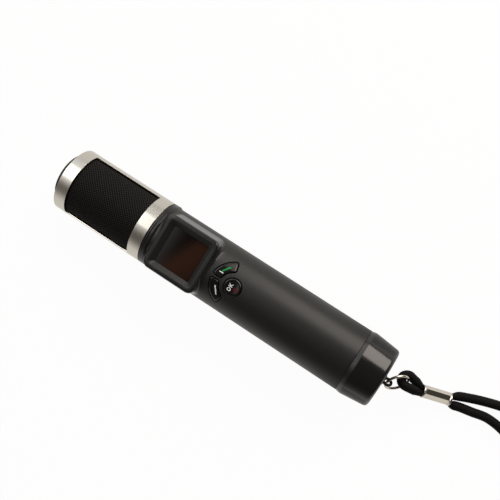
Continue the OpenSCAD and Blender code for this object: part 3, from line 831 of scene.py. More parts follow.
    def add_band(
        self, tree: bpy.types.NodeTree, stops: Sequence[tuple[float, float]], place: bpy.types.NodeSocket
    ) -> bpy.types.NodeSocket:
        """Adds a colour ramp that gives brightness by angle, with a warm tint that fades towards white.

        At brightness b the colour is b tint^(1 - b).

        Args:
            tree: node tree of the world.
            stops: pairs of angle in degrees and brightness.
            place: socket with the angle, as 0 to 1 for a full turn.

        Returns:
            Socket with the colour.
        """
        ramp = add_node(tree, "ShaderNodeValToRGB", None, {"Fac": place})
        band = ramp.color_ramp
        while len(band.elements) < len(stops):
            band.elements.new(0.5)
        for element, (degrees, level) in zip(band.elements, stops):
            element.position = (degrees + 180) / 360
            element.color = (*(level * np.array(self.wall_tint) ** (1 - level)).tolist(), 1)
        return ramp.outputs["Color"]

    def add_surroundings(self) -> None:
        """Makes a dim room with a bright wall past the head, which gives round metal its bands.

        Only the camera, mirrors and glass see the room. What falls on things is an even white light.
        """
        world = bpy.data.worlds.new("studio")
        bpy.context.scene.world = world
        tree = bare_tree(world)
        direction = add_node(tree, "ShaderNodeTexCoord").outputs["Generated"]
        parts = add_node(tree, "ShaderNodeSeparateXYZ", None, {0: direction}).outputs
        lean = add_node(tree, "ShaderNodeMath", {"operation": "ARCTAN2"}, {0: parts["Y"], 1: parts["Z"]})
        place = add_node(
            tree, "ShaderNodeMapRange",
            {"From Min": -math.pi, "From Max": math.pi},
            {"Value": lean.outputs[0]},
        )
        bands = [
            self.add_band(tree, stops, place.outputs["Result"]) for stops in (self.overhead, self.far_wall)
        ]
        share = add_node(
            tree, "ShaderNodeMapRange",
            {
                "interpolation_type": "SMOOTHSTEP",
                "From Min": self.wall_edge + self.wall_edge_soft,
                "From Max": self.wall_edge - self.wall_edge_soft,
            },
            {"Value": parts["X"]},
        )
        walls = add_node(
            tree, "ShaderNodeMix",
            {"data_type": "RGBA"},
            {0: share.outputs["Result"], MIX_A: bands[0], MIX_B: bands[1]},
        )
        path = add_node(tree, "ShaderNodeLightPath").outputs
        white = add_node(
            tree, "ShaderNodeMix",
            {"data_type": "RGBA", MIX_B: linear("#ffffff")},
            {0: path["Is Camera Ray"], MIX_A: walls.outputs[MIX_RESULT]},
        )
        light = add_node(
            tree, "ShaderNodeBackground", {"Color": linear("#ffffff"), "Strength": self.sky_light}
        )
        room = add_node(tree, "ShaderNodeBackground", {"Strength": 1.0}, {"Color": white.outputs[MIX_RESULT]})
        mix = add_node(
            tree, "ShaderNodeMixShader", None,
            {0: self.seen_directly(tree), 1: light.outputs["Background"], 2: room.outputs["Background"]},
        )
        add_node(tree, "ShaderNodeOutputWorld", None, {"Surface": mix.outputs["Shader"]})

    def add_panel(
        self, name: str, colour: tuple[float, float, float], watts: float, angle_deg: float, shift: float,
        length: float, width: float,
    ) -> None:
        """Hangs one soft panel beside the long axis, aimed at that axis.

        Args:
            name: name of the lamp.
            colour: linear red, green and blue of its light.
            watts: its power.
            angle_deg: angle about the axis, from straight up towards +Y.
            shift: place of its middle along the axis, in metres.
            length: size along the axis.
            width: size across it.
        """
        data = bpy.data.lights.new(name, "AREA")
        data.shape = "RECTANGLE"
        data.size = length
        data.size_y = width
        data.energy = watts
        data.color = colour
        made = bpy.data.objects.new(name, data)
        a = math.radians(angle_deg)
        place = Vector((0, math.sin(a), math.cos(a)))
        made.location = place * self.panel_distance + Vector((shift, 0, 0))
        made.rotation_euler = place.to_track_quat("Z", "Y").to_euler()
        bpy.context.scene.collection.objects.link(made)

    def build(self) -> None:
        """Makes the whole studio."""
        self.add_camera()
        self.add_floor()
        self.add_surroundings()
        for panel in self.panels:
            self.add_panel(*panel)
        bpy.context.scene.view_settings.view_transform = "Standard"


@dataclass
class WristStrap:
    """Jump ring, bight, crimped ferrule and wrist loop, with places from the middle of the cap's end face."""

    cord_d: float = 6.0
    ring_wire_d: float = 1.7
    ring_r: float = 7.2
    eye_mid: float = 2.8
    ring_across: tuple[float, float, float] = (0.6, 0.8, 0.0)
    eye_angle_deg: float = 134.0
    ring_lean_deg: float = 33.0
    # Butt joint of the ring: place, half width in radians, and depth as a share of the wire
    joint_deg: float = 40.0
    joint_half: float = 0.035
    joint_depth: float = 0.12

    ferrule_d: float = 8.2
    ferrule_len: float = 19.0
    ferrule_from: tuple[float, float, float] = (23.6, 5.4, -10.5)
    ferrule_end: tuple[float, float] = (41.4, 9.5)
    ferrule_end_z: float = 4.4
    # Rolled mouth of the ferrule, from the inner edge outwards: run, depth under the tube's radius, round
    mouth: ClassVar[Sequence[tuple[float, ...]]] = (
        (0.25, 0.55, 0), (0, 0.25, 0.2), (0.3, 0, 0.2), (1.4, 0, 0.3), (1.8, 0.22, 0.3),
    )
    # Inside of the mouth: run and depth
    throat: ClassVar[Sequence[tuple[float, ...]]] = ((0.6, 0.65), (2, 1.7))
    # Flats of the crimp: angle about the ferrule, from level on the +Y side over the top, and depth
    flats: ClassVar[Sequence[tuple[float, ...]]] = (
        (18, 0.6), (78, 0.6), (128, 1.0), (190, 0.6), (252, 0.6), (315, 0.6),
    )
    # Where the flats start from each mouth, the run over which they deepen, and the skin that they press
    press_from: float = 0.9
    press_run: float = 0.8
    press_skin: float = 0.4

    bight_angle_deg: float = -28.0
    bight_gap: float = 0.35
    # How far the bight's ends reach into the ferrule
    tuck: float = 0.6
    strand_gap: float = 1.95
    strand_open: float = 0.6
    # Strands of the bight: distances from the ferrule's mouth, and how far the last two lie inside the bend
    strand_runs: ClassVar[tuple[float, ...]] = (2.4, 5, 8)
    strand_eases: ClassVar[tuple[float, ...]] = (1.05, 0.52)
    # Share of the cord's size that is left at the ferrule's mouth and just outside it
    mouth_share: float = 0.62
    neck_share: float = 0.8

    # Braid: strands of each set, their height, their level with the rise where one passes over, and the grid
    strands: int = 8
    relief: float = 0.22
    level: float = 0.62
    rise: float = 0.38
    step: float = 0.4
    sides: int = 48

    # Wrist loop from one mouth of the ferrule to the other: X and Y from the end face, Z above the table
    wrist_points: ClassVar[Sequence[tuple[float, ...]]] = (
        (40.8, 11.3, 4.5), (42.3, 12.3, 4.1), (44.6, 13.8, 3.5), (48.4, 15.5, 3.1), (58, 19.3, 3.1),
        (70, 22.9, 3.1), (84, 25, 3.1), (100, 24.8, 3.1), (118, 21.6, 3.1), (136, 16.6, 3.1), (150, 12, 3.1),
        (162, 7.4, 3.1), (171, 1.6, 3.1), (176.4, -6, 3.1), (177, -14.4, 3.1), (173, -22, 3.1),
        (165, -27.4, 3.1), (154, -29.2, 3.1), (140, -27, 3.1), (126, -20.6, 3.1), (114, -12, 3.1),
        (102, -2.6, 3.1), (90, 5.4, 3.1), (78, 10.4, 3.1), (66, 11.9, 3.1), (56, 9.9, 3.1), (48.6, 8.4, 3.1),
        (44.9, 7.35, 3.6), (42.9, 7.2, 4.1), (41.6, 7.6, 4.5),
    )

    def __post_init__(self) -> None:
        """Works out the axes of the ring and the ferrule."""
        self.end = np.array([node_box("tail_cap")[1, 0], 0.0, AXIS_Z])
        lean = math.radians(self.ring_lean_deg)
        self.u = unit(np.array(self.ring_across))
        side = np.array([-self.u[1], self.u[0], 0.0])
        self.v = unit(np.array([0, 0, math.cos(lean)]) + math.sin(lean) * side)
        self.ring_mid = np.array([self.eye_mid, 0, 0]) - self.on_ring(self.eye_angle_deg)
        self.start = np.array(self.ferrule_from)
        finish = np.array([*self.ferrule_end, self.ferrule_end_z - AXIS_Z])
        self.ferrule_dir = unit(finish - self.start)

    def on_ring(self, degrees: float) -> np.ndarray:
        """Place on the jump ring from its middle."""
        a = math.radians(degrees)
        return self.ring_r * (math.cos(a) * self.u + math.sin(a) * self.v)

    def bight_path(self) -> np.ndarray:
        """Works out the route of the bight: a strand out, half a circle round the ring's wire, a strand back.

        Returns:
            Points of the route.
        """
        a = math.radians(self.bight_angle_deg)
        middle = self.ring_mid + self.on_ring(self.bight_angle_deg)
        reach = np.linalg.norm(self.start - middle)
        forward = (self.start - middle) / reach
        along = -math.sin(a) * self.u + math.cos(a) * self.v
        side = unit(np.cross(along, forward))
        square = unit(forward - (forward @ along) * along)
        mouth = unit(side - (side @ self.ferrule_dir) * self.ferrule_dir)
        bend_r = self.cord_d / 2 + self.ring_wire_d / 2 + self.bight_gap
        outs = (self.strand_gap + self.strand_open, *(bend_r - ease for ease in self.strand_eases))

        def strand(way: int) -> list[np.ndarray]:
            """Works out one strand from the ferrule's mouth towards the ring.

            Args:
                way: 1 or -1 for the side that it lies on.

            Returns:
                Its points.
            """
            first = self.start + self.tuck * self.ferrule_dir + way * self.strand_gap * mouth
            rest = zip(self.strand_runs, outs)
            return [first] + [middle + (reach - run) * forward + way * out * side for run, out in rest]

        turn = np.radians(np.arange(0, 181, 30))[:, None]
        bend = middle - bend_r * np.sin(turn) * square + bend_r * np.cos(turn) * side
        return self.end + np.concatenate([strand(1), bend, strand(-1)[::-1]])

    def wrist_path(self) -> np.ndarray:
        """Route of the wrist loop."""
        return np.array(self.wrist_points, float) + [self.end[0], 0, 0]

    def smooth(
        self, path: np.ndarray, first: np.ndarray, last: np.ndarray, pieces: int = 24
    ) -> tuple[np.ndarray, np.ndarray]:
        """Draws one smooth curve through a route and its radius at each point.

        Between points b and c it is the cubic 0.5 (2b + (c-a) t + (2a-5b+4c-d) t^2 + (3b-a-3c+d) t^3).

        Args:
            path: points of the route.
            first: direction at the start.
            last: direction at the end.
            pieces: pieces of the curve between two points of the route.

        Returns:
            Evenly spaced points, and the cord's radius at each.
        """
        lead = np.linalg.norm(path[1] - path[0])
        tail = np.linalg.norm(path[-1] - path[-2])
        full = np.concatenate([path[:1] - lead * first, path, path[-1:] + tail * last])
        a, b, c, d = (full[k:len(full) - 3 + k][:, None] for k in range(4))
        t = np.linspace(0, 1, pieces, endpoint=False)[None, :, None]
        curve = 0.5 * (
            2 * b + (c - a) * t + (2 * a - 5 * b + 4 * c - d) * t ** 2 + (3 * b - a - 3 * c + d) * t ** 3
        )
        curve = np.concatenate([curve.reshape(-1, 3), path[-1:]])
        share = np.ones(len(path))
        share[[0, -1]] = self.mouth_share
        share[[1, -2]] = self.neck_share
        share = np.interp(np.arange(len(curve)) / pieces, np.arange(len(path)), share)
        run = lengths(curve)
        even = np.linspace(0, run[-1], int(run[-1] / self.step) + 1)
        line = np.stack([np.interp(even, run, curve[:, k]) for k in range(3)], axis=-1)
        return line, np.interp(even, run, share) * self.cord_d / 2

    def braid(
        self, name: str, path: np.ndarray, first: np.ndarray, last: np.ndarray
    ) -> tuple[bpy.types.Object, np.ndarray]:
        """Makes a braided cord: a tube whose surface rises and falls with two crossing sets of strands.

        With u and v the strand numbers of the two sets at a point, a strand's height is cos^2 across it, and
        cos(pi u) cos(pi v) says which set passes over.

        Args:
            name: name of the piece.
            path: points of the route.
            first: direction at the start.
            last: direction at the end.

        Returns:
            The piece and its middle line.
        """
        line, radius = self.smooth(path, first, last)
        heading = np.gradient(line, axis=0)
        heading[0], heading[-1] = first, last
        heading = unit(heading)
        side = unit(np.cross([0, 0, 1.0], heading))
        up = np.cross(heading, side)
        angle = even_angles(self.sides)[None]
        run = self.step * np.arange(len(line))[:, None]
        lay = math.pi * self.cord_d / self.strands
        u = angle * self.strands / (2 * math.pi) + run / lay
        v = angle * self.strands / (2 * math.pi) - run / lay
        over = np.cos(math.pi * u) * np.cos(math.pi * v)
        over = self.rise * np.sign(over) * np.abs(over) ** 0.5
        relief = np.maximum(
            np.cos(math.pi * (u - 0.5)) ** 2 * (self.level + over),
            np.cos(math.pi * (v - 0.5)) ** 2 * (self.level - over),
        )
        r = radius[:, None] - self.relief * (1 - relief)
        out = np.cos(angle)[..., None] * side[:, None] + np.sin(angle)[..., None] * up[:, None]
        made = grid_piece(name, line[:, None] + r[..., None] * out, caps=True, crease_deg=60, merge=False)
        # The height also sets the colour: the seams and sunken strands take near-black painted shade
        store_relief(made, relief)
        return made, line

    def ring(self) -> bpy.types.Object:
        """Makes the jump ring: a circle of wire carried round a circle, with a fine butt joint.

        The joint is a groove of depth exp(-(a / half width)^2) at the angle a from its middle.

        Returns:
            The ring.
        """
        a = even_angles(120)[:, None]
        b = even_angles(28)[None]
        joint = np.exp(-((a - math.radians(self.joint_deg)) / self.joint_half) ** 2)
        wire = self.ring_wire_d / 2 * (1 - self.joint_depth * joint)
        out = np.cos(a)[..., None] * self.u + np.sin(a)[..., None] * self.v
        across = np.cross(self.u, self.v)
        grid = self.end + self.ring_mid + out * (self.ring_r + wire * np.cos(b))[..., None]
        grid = grid + (wire * np.sin(b))[..., None] * across
        return grid_piece("strap_ring", grid, close_rows=True)

    def pressed_r(self, b: np.ndarray, turn: np.ndarray, depth: np.ndarray) -> np.ndarray:
        """Works out the radius of the pressed tube.

        A flat at distance f from the axis has the radius f / cos(b) at an angle b from its middle, and the
        tube's own radius caps it.

        Args:
            b: angles about the ferrule.
            turn: angles of the flats' middles.
            depth: depths of the flats.

        Returns:
            Radius at each angle, in one row.
        """
        half = self.ferrule_d / 2
        least_cosine = 0.1
        away = np.maximum(np.cos(b - turn[:, None]), least_cosine)
        return np.minimum(((half - depth)[:, None] / away).min(axis=0, keepdims=True), half)

    def ferrule(self) -> bpy.types.Object:
        """Makes the ferrule: a tube with rolled mouths, pressed to six flats in between.

        Two flats at the angles p and q and the distances f and g meet at the angle whose sine and cosine go
        as f cos q - g cos p and g sin p - f sin q, and the grid has a column there. The flats fade out
        towards the mouths.

        Returns:
            The ferrule.
        """
        half, length = self.ferrule_d / 2, self.ferrule_len
        near = [(run, half - deep, reach) for run, deep, reach in self.mouth]
        outer = rounded(near + [(length - run, r, reach) for run, r, reach in near[::-1]])
        inner = [(run, half - deep) for run, deep in self.throat]
        inner = [(length - run, r) for run, r in inner] + inner[::-1]
        profile = np.concatenate([refined(outer, longest=0.35), inner])
        run, r = profile[:, :1], profile[:, 1:]
        turn, depth = np.array(self.flats, dtype=float).T
        p, f = np.radians(turn), half - depth
        q, g = np.roll(p, -1), np.roll(f, -1)
        corner = np.arctan2(f * np.cos(q) - g * np.cos(p), g * np.sin(p) - f * np.sin(q))
        corner = np.where(np.cos(corner - p) < 0, corner + math.pi, corner) % (2 * math.pi)
        b = np.unique(np.concatenate([even_angles(90), corner]))[None]
        pressed = np.clip((np.minimum(run, length - run) - self.press_from) / self.press_run, 0, 1)
        pressed = pressed * (r > half - self.press_skin)
        r = r + pressed * (self.pressed_r(b, p, depth) - r)
        side = unit(np.cross([0, 0, 1.0], self.ferrule_dir))
        up = np.cross(self.ferrule_dir, side)
        grid = self.end + self.start + run[..., None] * self.ferrule_dir
        grid = grid + r[..., None] * (np.cos(b)[..., None] * side + np.sin(b)[..., None] * up)
        return grid_piece("crimped_ferrule", grid, close_rows=True, crease_deg=50)

    def build(self) -> None:
        ring = install(self.ring(), NICKEL, "strap", "strap_metal", "jump_ring")
        ferrule = install(self.ferrule(), NICKEL, "strap", "strap_metal", "cord_ferrule")
        wrist, line = self.braid("wrist_loop", self.wrist_path(), self.ferrule_dir, -self.ferrule_dir)
        install(wrist, BRAID, "strap", "cord_black", "wrist_cord")
        bight, line = self.braid("strap_bight", self.bight_path(), -self.ferrule_dir, self.ferrule_dir)
        install(bight, BRAID, "strap", "cord_black", "cord_bight")


@dataclass
class Head:
    """Metal cage, mesh sleeve and nose cap."""

    ring_r: float = 21.8
    cage_wall: float = 1.5
    end_ring_len: float = 8.4
    window_len: float = 50.5
    window_half_deg: float = 71.0
    window_turn_deg: float = 3.0
    # Wall that is left at the sides of the bars, and the break of the cage's edges
    bar_edge: float = 0.6
    edge: float = 0.1

    mesh_gap: float = 0.05
    mesh_wall: float = 0.6
    # Wires of each set round the sleeve: 2 mm apart, coarser than in the real cloth, so that the weave shows
    wires: int = 64
    wire_depth: float = 0.36
    # Height of a wire as a share, its rise or fall where it passes over or under, and the grid of the cloth
    wire_level: float = 0.7
    wire_rise: float = 0.3
    cloth_step: float = 0.3
    cloth_cols: int = 432
    # How far the cloth swells into the windows, and how soon from their edges
    bulge: float = 0.5
    bulge_edge: float = 1.0

    nose_r: float = 16.0
    nose_round: float = 1.0
    nose_wall: float = 2.0
    dish_r: float = 11.0
    dish_rim_r: float = 11.6
    dish: float = 0.35
    # Radius of the closed middle of the nose
    pole_r: float = 0.01

    def __post_init__(self) -> None:
        """Reads the ends of the cage from the frame, and works out where the windows start and end."""
        self.x0, self.x1 = node_box("head_cage")[:, 0]
        self.window = (self.x0 + self.end_ring_len, self.x0 + self.end_ring_len + self.window_len)
        self.inner_r = self.ring_r - self.cage_wall

    def cage(self) -> bpy.types.Object:
        """Makes the cage from a grid of cells round a tube, left open at the two windows.

        Each solid cell gives an outer and an inner face, and a wall where its neighbour is open.

        Returns:
            The cage, with its edges broken by a bevel.
        """
        ring_rows, window_rows = 5, 13
        cols_of = (60, 16, 60, 16)
        start, end = self.window
        x = np.concatenate([
            np.linspace(self.x0, start, ring_rows)[:-1],
            np.linspace(start, end, window_rows)[:-1],
            np.linspace(end, self.x1, ring_rows),
        ])
        half = math.radians(self.window_half_deg)
        stops = np.array([-half, half, math.pi - half, math.pi + half]) + math.radians(self.window_turn_deg)
        ends = np.append(stops[1:], stops[0] + 2 * math.pi)
        stretches = zip(stops, ends, cols_of)
        angle = np.concatenate([np.linspace(a, b, n, endpoint=False) for a, b, n in stretches])
        open_angle = np.repeat([True, False, True, False], cols_of)
        middle = (x[:-1] + x[1:]) / 2
        solid = ~(((middle > start) & (middle < end))[:, None] & open_angle[None])
        cols = len(angle)
        outer = around(x[:, None], self.ring_r, angle[None]).reshape(-1, 3)
        inside = np.arange(ring_rows, ring_rows + window_rows - 2)
        thin = np.zeros((len(x), cols))
        thin[np.ix_(inside, np.cumsum((0, *cols_of[:-1])))] = self.cage_wall - self.bar_edge
        inner = around(x[:, None], self.inner_r + thin, angle[None]).reshape(-1, 3)
        row, col = np.nonzero(solid)
        right = (col + 1) % cols
        a, b = row * cols + col, row * cols + right
        c, d = (row + 1) * cols + right, (row + 1) * cols + col
        shift = len(outer)
        faces = [np.stack([a, b, c, d], -1), np.stack([d, c, b, a], -1) + shift]
        padded = np.pad(solid, ((1, 1), (0, 0)))
        for first, second, neighbour in (
            (a, b, padded[row, col]),
            (b, c, solid[row, right]),
            (c, d, padded[row + 2, col]),
            (d, a, solid[row, col - 1]),
        ):
            wall = ~neighbour
            s, e = first[wall], second[wall]
            faces.append(np.stack([e, s, s + shift, e + shift], -1))
        shape = Shape()
        shape.add(np.concatenate([outer, inner]), np.concatenate(faces).tolist())
        made = shape.piece("head_cage_shell")
        self.break_edges(made)
        return made

    def break_edges(self, made: bpy.types.Object) -> None:
        """Deletes the points that no face uses and gives the cage's edges a small round.

        Args:
            made: the cage.
        """
        loose = bmesh.new()
        loose.from_mesh(made.data)
        bmesh.ops.delete(loose, geom=[v for v in loose.verts if not v.link_faces], context="VERTS")
        loose.to_mesh(made.data)
        loose.free()
        bevel = made.modifiers.new("edge round", "BEVEL")
        bevel.width = self.edge * MM
        bevel.segments = 3
        bevel.limit_method = "ANGLE"
        bevel.angle_limit = math.radians(40)
        bevel.harden_normals = True
        shade(made, 50)

    def bulged(self, x: np.ndarray, angle: np.ndarray) -> np.ndarray:
        """Works out how far the cloth stands out: full in the windows, less at their edges.

        At a distance from an edge, as the share s of the width of the change, it is 3 s^2 - 2 s^3.

        Args:
            x: places along the barrel.
            angle: angles from straight up.

        Returns:
            Share of the full bulge.
        """
        start, end = self.window
        turn = math.radians(self.window_turn_deg)
        from_middle = np.abs((angle - turn + math.pi / 2) % math.pi - math.pi / 2)
        inside = (math.radians(self.window_half_deg) - from_middle) * self.ring_r
        s = np.clip(np.minimum(inside, np.minimum(x - start, end - x)) / self.bulge_edge, 0, 1)
        return 3 * s ** 2 - 2 * s ** 3

    def sleeve(self) -> bpy.types.Object:
        """Makes the wire cloth: a sleeve whose outer face follows two crossing sets of slanted wires.

        With u and v the wire numbers of the two sets, a wire's height is cos^2 across it, and cos(pi u)
        cos(pi v) says which set passes over. The wires sink in at the windows' edges, where the cloth is
        held. The finish reads the cube of the height, so that only the wires' backs get the grey painted
        highlight and the rest is painted shade.

        Returns:
            The sleeve.
        """
        box = node_box("intake_mesh")
        r = self.inner_r - self.mesh_gap
        pitch = 2 * math.pi * r / self.wires
        x = np.arange(box[0, 0], box[1, 0], self.cloth_step)[:, None]
        angle = even_angles(self.cloth_cols)[None]
        u = angle * self.wires / (2 * math.pi) + x / pitch
        v = angle * self.wires / (2 * math.pi) - x / pitch
        over = self.wire_rise * np.cos(math.pi * u) * np.cos(math.pi * v)
        relief = np.maximum(
            np.cos(math.pi * u) ** 2 * (self.wire_level + over),
            np.cos(math.pi * v) ** 2 * (self.wire_level - over),
        )
        share = self.bulged(x, angle)
        outer = around(x, r + self.bulge * share - self.wire_depth * (1 - relief * share), angle)
        inner = around(box[::-1, :1], r - self.mesh_wall, angle)
        grid = np.concatenate([outer, inner])
        made = grid_piece("wire_cloth_sleeve", grid, close_rows=True, crease_deg=70, merge=False)
        # The cube of the height sets the painted highlight on the wires' backs and the painted shade in the
        # holes
        store_relief(made, np.concatenate([relief ** 3, np.zeros((2, angle.shape[1]))]))
        return made

    def nose(self) -> bpy.types.Object:
        """Makes the nose cap: a turned plug in the end ring with a round boss, whose face has a shallow dish.

        Returns:
            The nose cap.
        """
        x0, x1 = node_box("nose_cap")[:, 0]
        ring, pole, wall = self.x0, self.pole_r, self.nose_wall
        plug = self.inner_r - self.mesh_gap
        inside, face = x0 + wall, x0 + self.dish
        profile = rounded([
            (inside, pole, 0), (face, pole, 0), (face, self.dish_r, 0.8), (x0, self.dish_rim_r, 0.5),
            (x0, self.nose_r, self.nose_round), (ring + 0.02, self.nose_r, 0.4), (ring, plug - 0.1, 0.1),
            (x1, plug, 0.3), (x1, plug - wall, 0), (ring + wall, plug - wall, 0),
            (ring + wall, self.nose_r - wall, 0), (inside, self.nose_r - wall, 0), (inside, pole, 0),
        ])
        return grid_piece("nose_plug", turned(refined(profile)[:-1]), close_rows=True)

    def build(self) -> None:
        """Makes and dresses the head."""
        install(self.cage(), SATIN_ALUMINIUM, "case", "cage_metal", "head_cage")
        install(self.sleeve(), BLACK_WIRE, "case", "mesh_black", "intake_mesh")
        install(self.nose(), TRIM_ABS, "case", "trim_black", "nose_cap")


@dataclass
class Key:
    """One key: its plan, where it sits and the face that carries its marks."""

    name: str
    node: str
    body: str
    plan: Outline
    place: tuple[float, float]
    top_r: float = 21.6
    dish: float = 0.0
    dish_r: float = 5.1
    edge: float = 0.7
    lip: float = 0.7
    lip_top: float = 18.5
    lip_t: float = 1.2
    # Printed film: height over the face, depth of its root in the key, and the soft edge's height and width
    film: float = 0.035
    root: float = -0.06
    film_edge: float = 0.01
    film_soft: float = 0.04

    def face_r(self, plan: np.ndarray) -> np.ndarray:
        """Radius of the key's face: the crown, less a shallow round dish about the key's middle."""
        away = np.linalg.norm(plan - np.array(self.place), axis=-1)
        return self.top_r - self.dish * np.maximum(0, 1 - (away / self.dish_r) ** 2)

    def build(self) -> None:
        """Makes the key: lip, side wall, rounded edge and a face that follows the grip."""
        plan = self.plan.turned_to(self.place)
        low = self.lip_top - self.lip_t
        levels = [on_barrel(plan.inward(s), low) for s in (1.0, 0.5, 0.0)]
        levels += [on_barrel(plan.at(g), r) for g, r in (
            (self.lip, low), (self.lip, self.lip_top), (0.0, self.lip_top), (0.0, self.top_r - self.edge)
        )]
        for turn in np.linspace(0, math.pi / 2, 6)[1:]:
            inset = self.edge * (1 - math.cos(turn))
            levels.append(on_barrel(plan.at(-inset), self.top_r - self.edge * (1 - math.sin(turn))))
        loops = [plan.at(-g) for g in np.linspace(self.edge, plan.reach, 7)[1:]]
        loops += [plan.inward(s) for s in (0.35, 0.7, 1.0)]
        levels += [on_barrel(loop, self.face_r(loop)) for loop in loops]
        install(grid_piece(self.name, np.stack(levels)), KEY_RUBBER, self.body, "key_black", self.node)

    def stamp(self, shape: Shape, outline: Outline) -> None:
        """Adds one printed mark to a shape: a thin film with soft edges that follows the key's face.

        Args:
            shape: shape that takes the mark.
            outline: plan of the mark.
        """
        loops = [
            (outline.inward(1.0), self.root),
            (outline.inward(0.0), self.root),
            (outline.at(0), self.root),
            (outline.at(0), self.film_edge),
            (outline.at(-self.film_soft), self.film),
            (outline.inward(0.0), self.film),
            (outline.inward(1.0), self.film),
        ]
        shape.add_grid(np.stack([on_barrel(loop, self.face_r(loop) + lift) for loop, lift in loops]))


@dataclass
class Controls:
    """The three keys and their printed marks."""

    key_from_end: float = 105.1
    key_d: float = 11.2
    key_dish: float = 0.25
    arc_in: float = 9.2
    arc_out: float = 15.1
    arc_deg: float = 68.0
    arc_gap: float = 2.2
    arc_round: float = 1.4

    # Marks on the round key, from its middle: middle and half sizes of a loop, ends of a stroke
    letter_w: float = 0.44
    letter_o: ClassVar[Sequence[tuple[float, ...]]] = ((-1.4, -1.85), (1.12, 0.9))
    letter_k: ClassVar[Sequence[Sequence[tuple[float, float]]]] = (
        ((-2.5, 0.05), (-0.3, 0.05)), ((-1.3, 0.15), (-2.5, 1.5)), ((-1.5, 0.4), (-0.3, 1.6)),
    )
    power_w: float = 0.5
    power_loop: ClassVar[Sequence[tuple[float, ...]]] = ((2.6, -0.3), (1.25, 1.25))
    power_half_deg: float = 140.0
    power_bar: ClassVar[Sequence[tuple[float, ...]]] = ((1.1, -0.3), (2.5, -0.3))
    # Bars on the curved keys: name, ink, side, start, end and width
    bars: ClassVar[Sequence[tuple[Any, ...]]] = (
        ("left_key_mark", INK_WHITE, -1, (-9.8, -4.7), (-6.9, -9.1), 0.75),
        ("right_key_dash", INK_WHITE, 1, (-11.8, 4.4), (-9.6, 4.4), 0.55),
        ("right_key_mark", INK_GREEN, 1, (-10.4, 5.6), (-7.7, 9.4), 1.0),
    )

    def __post_init__(self) -> None:
        """Lays out the keys about the middle of the round one."""
        self.here = np.array([node_box("tail_cap")[1, 0] - self.key_from_end, 0])
        place = (self.here[0], 0)
        self.ok = Key("ok_key_cap", "key_ok", "ok_key", disc(self.key_d / 2), place, dish=self.key_dish)
        self.left = Key("left_key_cap", "key_left", "left_key", self.arc_plan(-1), place)
        self.right = Key("right_key_cap", "key_right", "right_key", self.arc_plan(1), place)

    def arc_plan(self, side: int) -> Outline:
        """Plan of a curved key: a ring sector beside the middle line, with round corners.

        The core is the sector drawn in by the corner radius: two arcs, a line along the barrel and a slanted
        one.

        Args:
            side: 1 for the key on the +Y side and -1 for the other.

        Returns:
            Outline about the round key's middle.
        """
        steps, fan, between, inset = 24, 7, 4, 0.1
        rho, slant = self.arc_round, math.radians(self.arc_deg)
        r_in, r_out = self.arc_in + rho, self.arc_out - rho
        level = self.arc_gap / 2 + rho
        shift = rho - self.arc_gap / 2 * math.cos(slant)

        def near(r: float) -> float:
            """Angle from -X where the line along the barrel meets radius r."""
            return math.asin(level / r)

        def far(r: float) -> float:
            """Angle from -X where the slanted line meets radius r."""
            return slant - math.asin(shift / r)

        def point(r: float, angle: Any) -> np.ndarray:
            """Plan point at radius r and an angle from -X."""
            angle = np.asarray(angle, float)
            return np.stack([-r * np.cos(angle), r * np.sin(angle)], axis=-1)

        outer = np.linspace(near(r_out), far(r_out), steps)
        inner = np.linspace(far(r_in), near(r_in), steps)
        corners = [
            point(r_out, far(r_out)),
            point(r_in, far(r_in)),
            point(r_in, near(r_in)),
            point(r_out, near(r_out)),
        ]
        share = np.linspace(0, 1, between + 2)[1:-1, None]
        slanted = np.array([math.sin(slant), math.cos(slant)])
        level_out = np.array([0.0, -1.0])
        stretches = [
            (point(r_out, outer), point(1, outer)),
            (corners[0] * (1 - share) + corners[1] * share, np.tile(slanted, (between, 1))),
            (point(r_in, inner), -point(1, inner)),
            (corners[2] * (1 - share) + corners[3] * share, np.tile(level_out, (between, 1))),
        ]
        cores, outs = [], []
        for k, (core, out) in enumerate(stretches):
            begin = math.atan2(out[-1, 1], out[-1, 0])
            after = stretches[(k + 1) % 4][1][0]
            turn = (math.atan2(after[1], after[0]) - begin + math.pi) % (2 * math.pi) - math.pi
            fan_core, fan_out = corner_fan(corners[k], begin, begin + turn, fan)
            cores += [core, fan_core]
            outs += [out, fan_out]
        core, out = np.concatenate(cores), np.concatenate(outs)
        mid_r = (r_in + r_out) / 2
        angle = np.arctan2(core[:, 1], -core[:, 0])
        heart = point(mid_r, np.clip(angle, near(mid_r) + inset, far(mid_r) - inset))
        return Outline(core, out, rho, heart).turned_to((0, 0), flip=side < 0)

    def bar(self, ends: Sequence[Sequence[float]], width: float) -> Outline:
        """Outline of a straight stroke with round ends.

        Args:
            ends: two plan points from the round key's middle.
            width: width of the stroke.

        Returns:
            The outline at its place.
        """
        a, b = (self.here + end for end in ends)
        half = np.linalg.norm(b - a) / 2 + width / 2
        turn = math.degrees(math.atan2(b[1] - a[1], b[0] - a[0]))
        return rectangle(half, width / 2, width * 0.4, 5, 3).turned_to((a + b) / 2, turn)

